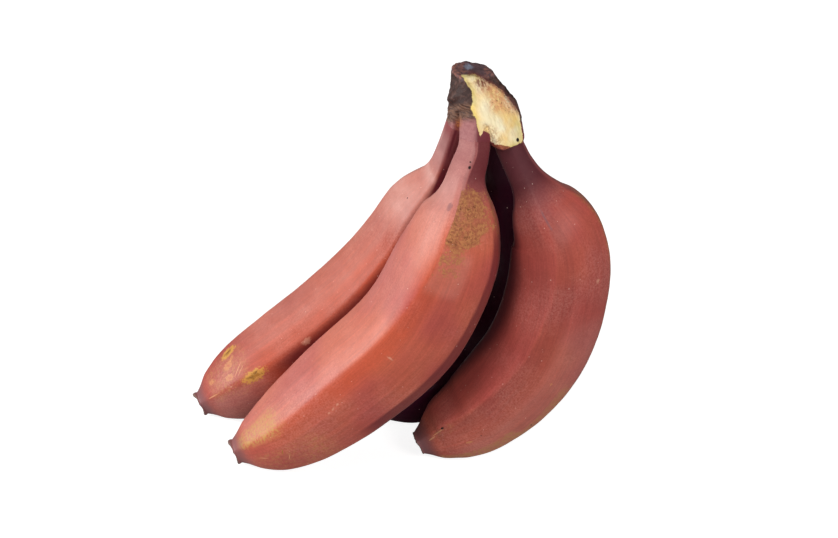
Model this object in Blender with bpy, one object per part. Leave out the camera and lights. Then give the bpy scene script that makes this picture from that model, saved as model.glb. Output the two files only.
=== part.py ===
"""A bunch of four red bananas, still joined at the crown that they were cut off with.

The bunch stands as it would on a table: crown up, with the four fingers curving down and
round to one side, each resting on the underside of its lower end. The tables below are in
millimetres. The origin is on the table, below the middle of the bunch; +Z is up, +X is the
side that the fingers bulge towards, and their blossom ends point to -X.
"""

from math import cos, hypot, pi, radians, sin

import bmesh
import bpy
from mathutils import Matrix, Vector

MM = 0.001

# ---- fingers --------------------------------------------------------------------------

FINGER_GIRTH = 42.0  # widest thickness of a finger
RIDGE_HEIGHT = 0.09  # from the flat between two ridges to a ridge, as a share of the radius
STEM_RIDGE_HEIGHT = 0.05
RIDGE_ROUNDING = 0.13  # of a ridge's crest, as a share of half the way to the next ridge
RIDGE_STEPS = 4  # points from one ridge to the next
STEM_SHARE = 0.2  # share of a finger's length over which its ridges rise from the stem's
SECTIONS = 38  # rings along a finger
NUB_LENGTH = 1.8  # dried points that each ridge ends in, round the blossom end
SCAR_DEPTH = 1.2  # how deep the blossom scar lies between them
SCAR_WIDTH = 0.45  # its floor, as a share of the blossom end's width

# Thickness along a finger: (share of its length, share of its girth). The first quarter
# is the stem and the shoulder, and the last tenth closes on the blossom end.
THICKNESS = (
    (0.00, 0.285),
    (0.06, 0.305),
    (0.12, 0.40),
    (0.19, 0.74),
    (0.27, 0.93),
    (0.40, 1.00),
    (0.66, 1.00),
    (0.80, 0.90),
    (0.90, 0.72),
    (0.955, 0.51),
    (0.985, 0.32),
    (1.00, 0.24),
)

# A finger is a rounded five-sided prism, whose ridges wind a little round it. Each finger
# has the line through its middle from the crown to the blossom end, its girth as a share of
# FINGER_GIRTH, how late its neck widens (1 is as THICKNESS says), and its five ridges: each
# one's angle from the front at the stem, half way and at the blossom end.
FINGERS = {
    "finger_front_left": {
        "line": (
            (31.5, -13, 146), (31, -15, 139), (28, -21, 130), (26.3, -25, 118),
            (21.6, -27, 97.2), (7.2, -27, 66), (-18, -26, 38.7), (-43, -25, 16.8),
            (-64.5, -26, 6),
        ),
        "girth": 1.0,
        "neck": 1.0,
        "ridges": ((-120, -120, -120), (-56, -52, -40), (20, 40, 34), (104, 110, 104),
                   (172, 175, 172)),
    },
    "finger_back_left": {
        "line": (
            (26.1, 0, 143), (24.5, 3, 132), (21, 9, 114.8), (14.2, 15, 97), (6.4, 18, 76.4),
            (-12, 19, 52), (-37, 16, 31), (-63, 12, 15.9), (-82, 10, 5.6),
        ),
        "girth": 1.0,
        "neck": 1.09,
        "ridges": ((-110, -110, -110), (-42, -40, -44), (38, 32, 28), (106, 104, 100),
                   (176, 178, 176)),
    },
    "finger_front_right": {
        "line": (
            (45.2, -10.8, 140), (46, -11.6, 136.5), (48.4, -13, 129.5), (55.9, -17, 118.5),
            (63.7, -19, 103.5), (64, -19, 78), (55.3, -18, 48), (36, -17, 21.6),
            (20, -18.5, 10.7), (9.8, -21, 6.4),
        ),
        "girth": 0.96,
        "neck": 1.0,
        "ridges": ((-140, -132, -110), (-74, -68, -44), (-10, 16, 56), (66, 84, 124),
                   (136, 152, 188)),
    },
    "finger_back_right": {
        "line": (
            (39.5, 3.5, 136), (40, 11, 122), (45.4, 23, 103), (52.8, 29, 82), (55.5, 30, 59),
            (47, 28, 36), (30, 20.9, 19.8), (8, 9, 14.8), (-12, 2.5, 10.5),
        ),
        "girth": 0.92,
        "neck": 1.15,
        "ridges": ((-124, -124, -124), (-52, -52, -52), (20, 20, 20), (92, 92, 92),
                   (164, 164, 164)),
    },
}

# ---- crown ----------------------------------------------------------------------------

JOINT_GAP = 0.3  # between the crown and each stem
COLLAR_LENGTH = 17.0  # the part of each stem that belongs to the crown
# Thickness along a collar, from the stem up into the crown, as a share of the stem's own.
COLLAR = ((0.0, 1.02), (0.2, 1.05), (0.45, 1.07), (0.7, 1.08), (0.9, 0.92), (1.0, 0.6))
CROWN_SIDES = 24
CROWN_LOBES = 3
CROWN_LOBE_HEIGHT = 0.06  # as a share of the crown's width
CROWN_LOBE_TURN = 9.0  # height over which the lobes turn by one radian

# The crown's own column, from below upwards: height of its middle, how steeply it drops to
# the right, middle (X, Y), and half widths (X, Y).
CROWN = (
    (147.0, 0.35, (37.5, -6.0), (7.5, 6.5)),
    (149.2, 0.30, (36.4, -6.0), (12.6, 11.0)),
    (152.5, 0.25, (35.3, -5.6), (13.8, 12.3)),
    (157.0, 0.20, (33.5, -5.0), (12.4, 11.8)),
    (162.0, 0.12, (31.2, -4.4), (9.3, 9.6)),
    (166.0, 0.05, (29.8, -4.0), (8.0, 8.2)),
    (176.0, 0.00, (29.6, -4.0), (7.9, 8.2)),
)

# The cuts of the knife: a point on each cut and the direction that it faces.
CUTS = {
    "front_cut_above": ((30.6, -13.0, 162.9), (0.35, -0.65, 0.68)),
    "front_cut": ((30.8, -14.0, 161.0), (0.62, -0.71, 0.34)),
    "front_cut_below": ((40.2, -17.0, 140.9), (0.42, -0.85, 0.30)),
    "top_cut": ((30.0, -3.0, 166.2), (0.10, 0.0, 1.0)),
}
KNIFE_SIZE = 80.0  # of the block that each cut takes away
TABLE_SIZE = 400.0  # of the block that flattens the fingers where they rest

FINE_STEPS = 400  # steps in which a line's length is measured
SHARP_ANGLE = 50.0  # edges sharper than this many degrees are not smoothed
PEEL = (0.52, 0.15, 0.11)
CROWN_SKIN = (0.09, 0.06, 0.05)


# ---- shapes along a line ----------------------------------------------------------------

def spline(knots, values, at):
    """The smooth curve through values at the rising knots, read at one place."""
    last = len(knots) - 1
    i = max(0, min(last - 1, sum(at >= k for k in knots) - 1))

    def slope(j):
        a, b = max(0, j - 1), min(last, j + 1)
        return (values[b] - values[a]) / (knots[b] - knots[a])

    span = knots[i + 1] - knots[i]
    t = (at - knots[i]) / span
    rise = values[i + 1] - values[i]
    bend = (slope(i) * span - rise) * (1 - t) - (slope(i + 1) * span - rise) * t
    return values[i] + rise * t + bend * t * (1 - t)


def smooth_line(points, count):
    """Points spread evenly along the smooth curve through the given ones."""
    knots = [0.0]
    for a, b in zip(points, points[1:]):
        knots.append(knots[-1] + (b - a).length)
    dense = [spline(knots, points, knots[-1] * i / FINE_STEPS) for i in range(FINE_STEPS + 1)]
    along = [0.0]
    for a, b in zip(dense, dense[1:]):
        along.append(along[-1] + (b - a).length)
    return [spline(along, dense, along[-1] * i / (count - 1)) for i in range(count)]


def directions(line, i):
    """The direction of a line at its point i, and the two across it: front and side."""
    along = (line[min(i + 1, len(line) - 1)] - line[max(i - 1, 0)]).normalized()
    side = Vector((0, -1, 0)).cross(along).normalized()
    return along, along.cross(side), side


def loft(rings):
    """A closed body through rings of points, each ring extruded from the one before it."""
    bm = bmesh.new()
    bmesh.ops.create_circle(bm, segments=len(rings[0]), radius=1.0)
    ring = list(bm.verts)
    bmesh.ops.contextual_create(bm, geom=bm.edges[:])
    edges = list(bm.edges)
    for points in rings:
        if points is not rings[0]:
            made = bmesh.ops.extrude_edge_only(bm, edges=edges)["geom"]
            edges = [e for e in made if isinstance(e, bmesh.types.BMEdge) and e.is_boundary]
            fresh = {v for v in made if isinstance(v, bmesh.types.BMVert)}
            ring = [
                next(e.other_vert(v) for e in v.link_edges if e.other_vert(v) in fresh)
                for v in ring
            ]
        for vert, point in zip(ring, points):
            vert.co = point
    bmesh.ops.contextual_create(bm, geom=edges)
    bmesh.ops.recalc_face_normals(bm, faces=bm.faces)
    return bm


# ---- objects ------------------------------------------------------------------------------

def paint(name, colour, roughness):
    """A plain material of one colour."""
    material = bpy.data.materials.new(name)
    material.use_nodes = True
    shader = material.node_tree.nodes["Principled BSDF"]
    shader.inputs["Base Color"].default_value = (*colour, 1.0)
    shader.inputs["Roughness"].default_value = roughness
    shader.inputs["Metallic"].default_value = 0.0
    return material


def new_object(name, bm, collection, material=None):
    """The mesh as an object: a part if it has a material, and a hidden helper if not."""
    mesh = bpy.data.meshes.new(name)
    bm.to_mesh(mesh)
    bm.free()
    obj = bpy.data.objects.new(name, mesh)
    collection.objects.link(obj)
    if material:
        mesh.materials.append(material)
        mesh.shade_smooth()
        mesh.set_sharp_from_angle(angle=radians(SHARP_ANGLE))
    else:
        obj.hide_render = True
        obj.display_type = "WIRE"
    return obj


def boolean(obj, other, operation):
    """Joins the other object to this one, or cuts it away."""
    modifier = obj.modifiers.new(other.name, "BOOLEAN")
    modifier.operation = operation
    modifier.object = other


def half_space(name, point, facing, size, collection):
    """A block with one face through the point, that fills the side which facing points to."""
    facing = Vector(facing).normalized()
    turn = facing.to_track_quat("Z", "Y").to_matrix().to_4x4()
    bm = bmesh.new()
    bmesh.ops.create_cube(bm, size=size * MM, matrix=Matrix.Translation((0, 0, size * MM / 2)))
    block = new_object(name, bm, collection)
    block.matrix_world = Matrix.Translation(Vector(point) * MM) @ turn
    return block


def ridges_at(spec, share):
    """Where the five ridges lie at a share of a finger's length, in degrees from the front."""
    return [spline((0.0, 0.5, 1.0), ridge, share) for ridge in spec["ridges"]]


def section(centre, front, side, reach, ridges, height):
    """One ring of a finger: a rounded pentagon, whose corners are the ridges."""
    ring = []
    for low, high in zip(ridges, [*ridges[1:], ridges[0] + 360]):
        for k in range(RIDGE_STEPS):
            angle = radians(low + (high - low) * k / RIDGE_STEPS)
            away = 2 * min(k, RIDGE_STEPS - k) / RIDGE_STEPS
            flat = min(1.0, hypot(away, RIDGE_ROUNDING))
            relief = height * ((1 - flat) ** 2 - 1 / 3)
            across = front * cos(angle) - side * sin(angle)
            ring.append(centre + across * reach * (1.0 + relief))
    return ring


def make_finger(name, spec, table, collection):
    """One banana: its section swept from the stem to the blossom end, flat where it rests."""
    line = smooth_line([Vector(p) * MM for p in spec["line"]], SECTIONS)
    half_girth = FINGER_GIRTH / 2 * MM * spec["girth"]
    shares, widths = zip(*THICKNESS)
    rings = []
    for i, centre in enumerate(line):
        along, front, side = directions(line, i)
        share = i / (SECTIONS - 1)
        reach = half_girth * spline(shares, widths, share ** spec["neck"])
        swell = min(1.0, share / STEM_SHARE)
        height = STEM_RIDGE_HEIGHT + (RIDGE_HEIGHT - STEM_RIDGE_HEIGHT) * swell
        rings.append(section(centre, front, side, reach, ridges_at(spec, share), height))
    for k in range(0, len(rings[-1]), RIDGE_STEPS):
        rings[-1][k] += along * NUB_LENGTH * MM
    scar = line[-1] - along * SCAR_DEPTH * MM
    rings.append(section(scar, front, side, reach * SCAR_WIDTH, ridges_at(spec, 1.0), height))
    finger = new_object(name, loft(rings), collection, paint(name, PEEL, 0.45))
    boolean(finger, table, "DIFFERENCE")
    return finger


def make_collar(name, spec, collection):
    """The top of a stem, which has grown together with the crown."""
    line = smooth_line([Vector(p) * MM for p in spec["line"]], SECTIONS)
    along, front, side = directions(line, 0)
    stem = FINGER_GIRTH / 2 * MM * spec["girth"] * THICKNESS[0][1]
    start = line[0] - along * JOINT_GAP * MM
    rings = []
    for share, width in COLLAR:
        centre = start - along * COLLAR_LENGTH * MM * share
        rings.append(section(centre, front, side, stem * width, ridges_at(spec, 0.0),
                             STEM_RIDGE_HEIGHT))
    return new_object(name, loft(rings), collection)


def make_crown(collection, helpers):
    """The woody piece that the four stems grow from, cut in front and on top."""
    rings = []
    for height, drop, (x, y), (half_x, half_y) in CROWN:
        ring = []
        for k in range(CROWN_SIDES):
            angle = 2 * pi * k / CROWN_SIDES
            lobes = 1 + CROWN_LOBE_HEIGHT * cos(CROWN_LOBES * angle + height / CROWN_LOBE_TURN)
            right = half_x * lobes * cos(angle)
            back = half_y * lobes * sin(angle)
            ring.append(Vector((x + right, y + back, height - drop * right)) * MM)
        rings.append(ring)
    crown = new_object("crown", loft(rings), collection, paint("crown", CROWN_SKIN, 0.7))
    for name, spec in FINGERS.items():
        boolean(crown, make_collar("collar_of_" + name, spec, helpers), "UNION")
    for name, (point, facing) in CUTS.items():
        boolean(crown, half_space(name, point, facing, KNIFE_SIZE, helpers), "DIFFERENCE")
    return crown


def main():
    for obj in list(bpy.data.objects):
        bpy.data.objects.remove(obj)
    bunch = bpy.data.collections.new("red_banana_bunch")
    helpers = bpy.data.collections.new("cutters")
    helpers.hide_render = True
    for collection in (bunch, helpers):
        bpy.context.scene.collection.children.link(collection)
    table = half_space("table", (0, 0, 0), (0, 0, -1), TABLE_SIZE, helpers)
    for name, spec in FINGERS.items():
        make_finger(name, spec, table, bunch)
    make_crown(bunch, helpers)


main()
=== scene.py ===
"""The looks of a short bunch of red bananas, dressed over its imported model.

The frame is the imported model's: metres, +Z up, the crown on top and the blossom ends
towards -X. The tables of sizes are in millimetres, and become metres where they are read.
Each banana is a fine skin over the same middle line and thickness as its CAD node, and the
crown is the same column and stem collars, grown together, cut and dried.
"""

import logging
from collections.abc import Callable, Sequence
from dataclasses import dataclass
from enum import Enum
from functools import lru_cache, reduce
from math import atan2, cos, degrees, exp, hypot, pi, radians, sin
from typing import TypeVar

import bmesh
import bpy
from mathutils import Matrix, Vector, noise


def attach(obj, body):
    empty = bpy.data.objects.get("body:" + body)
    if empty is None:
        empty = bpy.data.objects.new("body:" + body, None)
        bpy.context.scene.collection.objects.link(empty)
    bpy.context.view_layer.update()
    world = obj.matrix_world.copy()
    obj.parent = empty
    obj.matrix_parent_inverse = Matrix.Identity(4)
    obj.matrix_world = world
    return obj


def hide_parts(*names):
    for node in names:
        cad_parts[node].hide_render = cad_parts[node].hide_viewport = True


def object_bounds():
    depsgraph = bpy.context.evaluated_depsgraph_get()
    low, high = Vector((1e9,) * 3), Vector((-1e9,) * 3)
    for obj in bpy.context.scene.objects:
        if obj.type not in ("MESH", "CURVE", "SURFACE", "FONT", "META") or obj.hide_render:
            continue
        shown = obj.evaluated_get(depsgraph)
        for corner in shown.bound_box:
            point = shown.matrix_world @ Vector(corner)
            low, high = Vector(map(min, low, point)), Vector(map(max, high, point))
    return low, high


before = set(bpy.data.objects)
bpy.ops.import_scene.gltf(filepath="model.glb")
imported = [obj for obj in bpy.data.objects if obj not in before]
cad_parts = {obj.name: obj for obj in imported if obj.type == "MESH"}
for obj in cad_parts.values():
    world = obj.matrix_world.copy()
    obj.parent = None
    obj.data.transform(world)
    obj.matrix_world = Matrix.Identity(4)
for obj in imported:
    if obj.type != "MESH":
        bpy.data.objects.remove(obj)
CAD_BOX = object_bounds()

logger = logging.getLogger("banana_bunch")

Point = tuple[float, float, float]
Colour = tuple[float, float, float, float]
Socket = bpy.types.NodeSocket
Value = float | Socket
Shade = Colour | Socket
Quantity = TypeVar("Quantity", float, Vector)

MM = 0.001

# ---- the bananas' common shape --------------------------------------------------------

FINGER_GIRTH = 41.5  # widest thickness
RIDGE_HEIGHT = 0.12  # from the flat between two ridges to a ridge, as a share of the radius
RIDGE_ROUNDING = 0.07  # of a ridge's crest, as a share of half the way to the next ridge
THICKNESS = (
    (0.00, 0.285),
    (0.06, 0.305),
    (0.12, 0.40),
    (0.19, 0.74),
    (0.27, 0.93),
    (0.40, 1.00),
    (0.66, 1.00),
    (0.80, 0.90),
    (0.90, 0.72),
    (0.955, 0.51),
    (0.985, 0.32),
    (1.00, 0.24),
)
LINE_STEPS = 400  # steps in which a line's length is measured
AROUND = 160  # points round the skin
RINGS = 236  # rings from the hidden top of the stem to the middle of the blossom scar
TOP_RINGS = 5  # of them, those that close the stem inside the crown
END_RINGS = 26  # and those that go over the rim of the blossom end and into its scar
HIDDEN_STEM = 2.0  # length of stem inside the crown
HIDDEN_WIDTH = 0.8  # of the stem's hidden top, as a share of the stem's own width
RIDGE_START, RIDGE_FULL = 0.02, 0.25  # shares of the length over which a stem's ridges rise
LUMPS = ((0.22, 70.0), (0.06, 260.0))  # the skin's lumps: height, and how many to a metre
LUMPY_REACH = 8.0  # thickness from the middle line at which the lumps are at their full height

# Over the rim of a blossom end and into its scar: how far along, the width as a share of
# the finger's last ring, the height as a share of the rim's, and the depth as a share of
# the scar's.
END_PROFILE = (
    (0.00, 1.00, 0.0, 0.0),
    (0.15, 1.03, 0.5, 0.0),
    (0.32, 0.97, 0.9, 0.0),
    (0.50, 0.82, 1.0, 0.0),
    (0.68, 0.58, 0.7, 0.25),
    (0.85, 0.30, 0.2, 0.75),
    (1.00, 0.00, 0.0, 0.80),
)
SCAR_DEPTH = 1.3
RIM_HEIGHT = 0.35
RIM_ON_RIDGE = 3.0  # extra height where a ridge meets the rim, in its own shares of the reach
RIM_WAVE = (0.3, 3.1)  # a slow wave of the rim: height, and how often it turns
RIM_CRUMBLE = (0.18, 900.0)  # the crumbly dried edge: height, and how many to a metre
SCAR_FALL = 3.0  # how far the growth lines run on, from the skin to the middle of the scar


def spline(knots: Sequence[float], values: Sequence[Quantity], at: float) -> Quantity:
    """Reads the smooth curve through values at the rising knots, at one place.

    Args:
        knots: Places of the values, in rising order.
        values: Numbers or vectors, one for each knot.
        at: The place to read.

    Returns:
        The number or vector there.
    """
    last = len(knots) - 1
    i = max(0, min(last - 1, sum(at >= k for k in knots) - 1))

    def slope(j: int) -> Quantity:
        """The curve's slope at a knot."""
        a, b = max(0, j - 1), min(last, j + 1)
        return (values[b] - values[a]) / (knots[b] - knots[a])

    span = knots[i + 1] - knots[i]
    t = (at - knots[i]) / span
    rise = values[i + 1] - values[i]
    bend = (slope(i) * span - rise) * (1 - t) - (slope(i + 1) * span - rise) * t
    return values[i] + rise * t + bend * t * (1 - t)


@lru_cache(maxsize=None)
def turn_along(turns: Point, share: float) -> float:
    """A turn at a share of a length, from its sizes at the start, half way and at the end."""
    return spline((0.0, 0.5, 1.0), turns, share)


def smooth_line(points: list[Vector], count: int) -> list[Vector]:
    """Points spread evenly along the smooth curve through the given ones.

    Args:
        points: The points that the curve passes through.
        count: How many points to return.

    Returns:
        The points, both ends included.
    """
    knots = [0.0]
    for a, b in zip(points, points[1:]):
        knots.append(knots[-1] + (b - a).length)
    dense = [spline(knots, points, knots[-1] * i / LINE_STEPS) for i in range(LINE_STEPS + 1)]
    along = [0.0]
    for a, b in zip(dense, dense[1:]):
        along.append(along[-1] + (b - a).length)
    return [spline(along, dense, along[-1] * i / (count - 1)) for i in range(count)]


def smooth_step(low: float, high: float, at: float) -> float:
    """0 below low and 1 above high, with a soft rise between them; high may be the lower."""
    t = max(0.0, min(1.0, (at - low) / (high - low)))
    return t * t * (3 - 2 * t)


def put_in_order(bm: bmesh.types.BMesh) -> None:
    """Sorts the edges and the faces by their points, so that each run gives the same mesh.

    Args:
        bm: The mesh, whose points are in the same order each run.
    """
    count = len(bm.verts)

    def key(part: bmesh.types.BMEdge | bmesh.types.BMFace) -> int:
        """A number that the part's first points give to no other part."""
        first = sorted(vert.index for vert in part.verts)[:3]
        return reduce(lambda number, index: number * count + index, first)

    bm.verts.index_update()
    for parts in (bm.edges, bm.faces):
        parts.sort(key=key)


def colour(red: int, green: int, blue: int) -> Colour:
    """A display colour as the linear colour that a shader takes.

    Args:
        red: Its red, from 0 to 255.
        green: Its green.
        blue: Its blue.

    Returns:
        The linear colour, opaque.
    """
    linear = [((c / 255 + 0.055) / 1.055) ** 2.4 if c > 10 else c / 255 / 12.92
              for c in (red, green, blue)]
    return (linear[0], linear[1], linear[2], 1.0)


# ---- shader nodes ---------------------------------------------------------------------

class Graph:
    """Places shader nodes in one tree and links them."""

    def __init__(self, tree: bpy.types.NodeTree) -> None:
        """Keeps the tree to work in."""
        self.tree = tree

    def node(self, kind: str, inputs: dict | None = None, **settings) -> bpy.types.Node:
        """Adds a node.

        Args:
            kind: Its type's name.
            inputs: Values and sockets for its inputs, by name or number.
            settings: Its own settings.

        Returns:
            The node.
        """
        node = self.tree.nodes.new(kind)
        for key, value in settings.items():
            setattr(node, key, value)
        for key, value in (inputs or {}).items():
            if isinstance(value, Socket):
                self.tree.links.new(value, node.inputs[key])
            else:
                node.inputs[key].default_value = value
        return node

    def maths(self, operation: str, a: Value, b: Value = 0.0) -> Socket:
        """One sum, which isn't held between 0 and 1."""
        return self.node("ShaderNodeMath", {0: a, 1: b}, operation=operation).outputs[0]

    def times(self, a: Value, b: Value) -> Socket:
        """Two numbers multiplied."""
        return self.maths("MULTIPLY", a, b)

    def plus(self, a: Value, b: Value) -> Socket:
        """Two numbers added."""
        return self.maths("ADD", a, b)

    def ragged(self, value: Value, texture: Socket, amount: Value) -> Socket:
        """A number that a texture pushes up and down, by half the amount at most."""
        return self.plus(value, self.times(self.maths("SUBTRACT", texture, 0.5), amount))

    def band(self, value: Value, low: float, high: float) -> Socket:
        """0 where value is at low and 1 where it is at high, with a soft rise between.

        Args:
            value: The number to read.
            low: Where the result is 0, which may be above high.
            high: Where the result is 1.

        Returns:
            The number from 0 to 1.
        """
        rising = {"Value": value, "From Min": low, "From Max": high}
        if low > high:
            rising.update({"From Min": high, "From Max": low, "To Min": 1.0, "To Max": 0.0})
        node = self.node("ShaderNodeMapRange", rising, interpolation_type="SMOOTHSTEP")
        return node.outputs["Result"]

    def mix(self, factor: Value, a: Shade, b: Shade, blend: str = "MIX") -> Socket:
        """Blends two colours.

        Args:
            factor: 0 for the first and 1 for the second.
            a: The first colour.
            b: The second colour.
            blend: How the second is laid on the first.

        Returns:
            The blended colour.
        """
        inputs = {0: factor, 6: a, 7: b}
        node = self.node("ShaderNodeMix", inputs, data_type="RGBA", blend_type=blend)
        return node.outputs[2]

    def layered(self, *layers: tuple[Socket, float]) -> Socket:
        """Adds up textures, each with its own height in millimetres."""
        return reduce(self.plus, (self.times(texture, high * MM) for texture, high in layers))

    def between(self, factor: Value, a: Value, b: Value) -> Socket:
        """Blends two numbers."""
        return self.node("ShaderNodeMix", {0: factor, 2: a, 3: b}).outputs[0]

    def noise(self, place: Socket, feature: float, detail: float = 2.0,
              roughness: float = 0.5, distortion: float = 0.0) -> Socket:
        """Cloudy noise, with features of about the given size in metres.

        Args:
            place: Where the noise is read.
            feature: Size of its features, in metres.
            detail: How many finer layers it has.
            roughness: How strong the finer layers are.
            distortion: How much it is swirled.

        Returns:
            A number round 0.5.
        """
        inputs = {"Vector": place, "Scale": 1.0 / feature, "Detail": detail,
                  "Roughness": roughness, "Distortion": distortion}
        return self.node("ShaderNodeTexNoise", inputs).outputs["Fac"]

    def stretch(self, place: Socket, factors: Point) -> Socket:
        """A place with each axis multiplied by its own factor."""
        node = self.node("ShaderNodeVectorMath", {0: place, 1: factors}, operation="MULTIPLY")
        return node.outputs[0]

    def painted(self, name: str) -> bpy.types.Node:
        """What was painted on the mesh under this name."""
        return self.node("ShaderNodeAttribute", attribute_name=name)

    def mask(self, name: str) -> Socket:
        """The mask that was painted on the mesh under this name."""
        return self.painted(name).outputs["Fac"]

    def place(self) -> Socket:
        """Where the surface is, in metres in the object's own frame."""
        return self.node("ShaderNodeTexCoord").outputs["Object"]

    def finish(self, shader: bpy.types.Node, skin: Socket, dull: Socket,
               height: Socket) -> None:
        """Links a colour, a roughness and a height in metres to a shader.

        Args:
            shader: The Principled shader.
            skin: Its colour.
            dull: Its roughness.
            height: How high the surface stands, in metres.
        """
        bump = self.node("ShaderNodeBump", {"Height": height, "Distance": 1.0}).outputs[0]
        for name, socket in (("Base Color", skin), ("Roughness", dull), ("Normal", bump)):
            self.tree.links.new(socket, shader.inputs[name])

    def group(self, tree: bpy.types.NodeTree, inputs: dict) -> bpy.types.Node:
        """Places a node group and sets its inputs."""
        return self.node("ShaderNodeGroup", inputs, node_tree=tree)


def shared_effect(name: str, inputs: dict[str, str], outputs: tuple[str, ...],
                  build: Callable[[Graph, dict[str, Socket]], tuple[Socket, ...]],
                  ) -> bpy.types.NodeTree:
    """Builds an effect that several materials use, as a node group.

    Args:
        name: The group's name.
        inputs: Socket types of its inputs, by name.
        outputs: Names of its outputs, all plain numbers.
        build: Adds the nodes, from a graph and the group's inputs, and returns its results.

    Returns:
        The node group.
    """
    tree = bpy.data.node_groups.new(name, "ShaderNodeTree")
    for label, kind in inputs.items():
        tree.interface.new_socket(label, in_out="INPUT", socket_type=kind)
    for label in outputs:
        tree.interface.new_socket(label, in_out="OUTPUT", socket_type="NodeSocketFloat")
    graph = Graph(tree)
    entry = graph.node("NodeGroupInput")
    results = build(graph, {label: entry.outputs[label] for label in inputs})
    graph.node("NodeGroupOutput", dict(zip(outputs, results)))
    return tree


class Effects:
    """The node groups that the peel and the crown share. Sizes are in millimetres."""

    FIBRE_LENGTH = 30.0  # of a fibre, in its own widths
    BROAD_FIBRE = 1.7
    FINE_FIBRE = 0.42
    BLOOM_PATCH = 26.0
    BLOOM_GRAIN = 0.8

    def __init__(self) -> None:
        """Builds each group once."""
        self.fibres = shared_effect(
            "lengthwise_fibres", {"Grow": "NodeSocketVector"}, ("Broad", "Fine"), self.fibre_nodes)
        self.bloom = shared_effect(
            "powdery_bloom", {"Place": "NodeSocketVector"}, ("Amount", "Grain"), self.bloom_nodes)
        self.specks = shared_effect(
            "specks", {"Place": "NodeSocketVector", "Per Metre": "NodeSocketFloat",
                       "Share": "NodeSocketFloat", "Size": "NodeSocketFloat"},
            ("Mask",), self.speck_nodes)
        self.patch = shared_effect(
            "ragged_patch", {"Mask": "NodeSocketFloat", "Clouds": "NodeSocketFloat",
                             "Raggedness": "NodeSocketFloat"},
            ("Mask",), self.patch_nodes)
        self.mark = shared_effect(
            "small_mark", {"Near": "NodeSocketVector", "Clouds": "NodeSocketFloat",
                           "Raggedness": "NodeSocketFloat"},
            ("Mask", "Core"), self.mark_nodes)

    def fibre_nodes(self, graph: Graph, given: dict[str, Socket]) -> tuple[Socket, ...]:
        """Streaks that run with the growth, broad ones and fine ones.

        Args:
            graph: The group's graph.
            given: The group's inputs, by name.

        Returns:
            The broad and the fine streaks.
        """
        drawn = graph.stretch(given["Grow"], (1.0, 1.0, 1.0 / self.FIBRE_LENGTH))
        broad = graph.noise(drawn, self.BROAD_FIBRE * MM, detail=2.0, roughness=0.6)
        fine = graph.noise(drawn, self.FINE_FIBRE * MM, detail=2.0, roughness=0.65,
                           distortion=0.15)
        return broad, fine

    def bloom_nodes(self, graph: Graph, given: dict[str, Socket]) -> tuple[Socket, ...]:
        """Wax that lies in soft patches, and the fine grain of its powder.

        Args:
            graph: The group's graph.
            given: The group's inputs, by name.

        Returns:
            The patches, and the grain.
        """
        patches = graph.noise(given["Place"], self.BLOOM_PATCH * MM, detail=3.0)
        grain = graph.noise(given["Place"], self.BLOOM_GRAIN * MM, detail=3.0, roughness=0.75)
        return graph.band(patches, 0.38, 0.68), grain

    def speck_nodes(self, graph: Graph, given: dict[str, Socket]) -> tuple[Socket, ...]:
        """Dots of unlike sizes, in only some of the cells of a scatter.

        Args:
            graph: The group's graph.
            given: The group's inputs, by name.

        Returns:
            The mask of the dots.
        """
        cells = graph.node("ShaderNodeTexVoronoi", {"Vector": given["Place"],
                                                    "Scale": given["Per Metre"]})
        parts = graph.node("ShaderNodeSeparateColor", {"Color": cells.outputs["Color"]})
        chosen = graph.maths("LESS_THAN", parts.outputs[0], given["Share"])
        size = graph.times(given["Size"], graph.plus(parts.outputs[1], 0.35))
        inside = graph.maths("SUBTRACT", 1.0,
                             graph.maths("DIVIDE", cells.outputs["Distance"], size))
        return (graph.times(chosen, graph.band(inside, 0.0, 0.6)),)

    def patch_nodes(self, graph: Graph, given: dict[str, Socket]) -> tuple[Socket, ...]:
        """A painted mask whose soft edge is broken up by clouds.

        Args:
            graph: The group's graph.
            given: The group's inputs, by name.

        Returns:
            The broken mask.
        """
        edge = graph.ragged(given["Mask"], given["Clouds"], given["Raggedness"])
        kept = graph.band(given["Mask"], 0.0, 0.12)
        return (graph.times(graph.band(edge, 0.28, 0.62), kept),)

    def mark_nodes(self, graph: Graph, given: dict[str, Socket]) -> tuple[Socket, ...]:
        """A small blemish, from places counted in its own half sizes, and its inner part.

        Args:
            graph: The group's graph.
            given: The group's inputs, by name.

        Returns:
            The masks of the blemish and of its inner part.
        """
        length = graph.node("ShaderNodeVectorMath", {0: given["Near"]}, operation="LENGTH")
        reach = graph.ragged(length.outputs["Value"], given["Clouds"], given["Raggedness"])
        return graph.band(reach, 1.05, 0.7), graph.band(reach, 0.55, 0.2)


def new_material(name: str) -> tuple[bpy.types.Material, Graph, bpy.types.Node]:
    """A material with a Principled shader, with its graph and that shader.

    Args:
        name: The material's name.

    Returns:
        The material, its graph and the shader.
    """
    material = bpy.data.materials.new(name)
    material.use_nodes = True
    return material, Graph(material.node_tree), material.node_tree.nodes["Principled BSDF"]


# ---- what is on the peel --------------------------------------------------------------

class Tint(Enum):
    """Broad changes of colour that are painted on the mesh. The value names the attribute."""

    SCAB = "scab"
    OLIVE = "olive"
    GOLD = "gold"
    # Purple red: the tip's own colour, and painted shade along crests and on shaded facets.
    PLUM_AND_PAINTED_SHADE = "plum_and_painted_shade"
    # Dark red, mostly painted shade in creases, in the gap and on sides turned from the lights.
    WINE_AND_PAINTED_SHADE = "wine_and_painted_shade"
    # Orange red along some crests, and painted light on one lit facet.
    EMBER_AND_PAINTED_LIGHT = "ember_and_painted_light"
    # Pale bloom, and painted light where lit sides are made paler.
    FROST_AND_PAINTED_LIGHT = "frost_and_painted_light"


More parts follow.
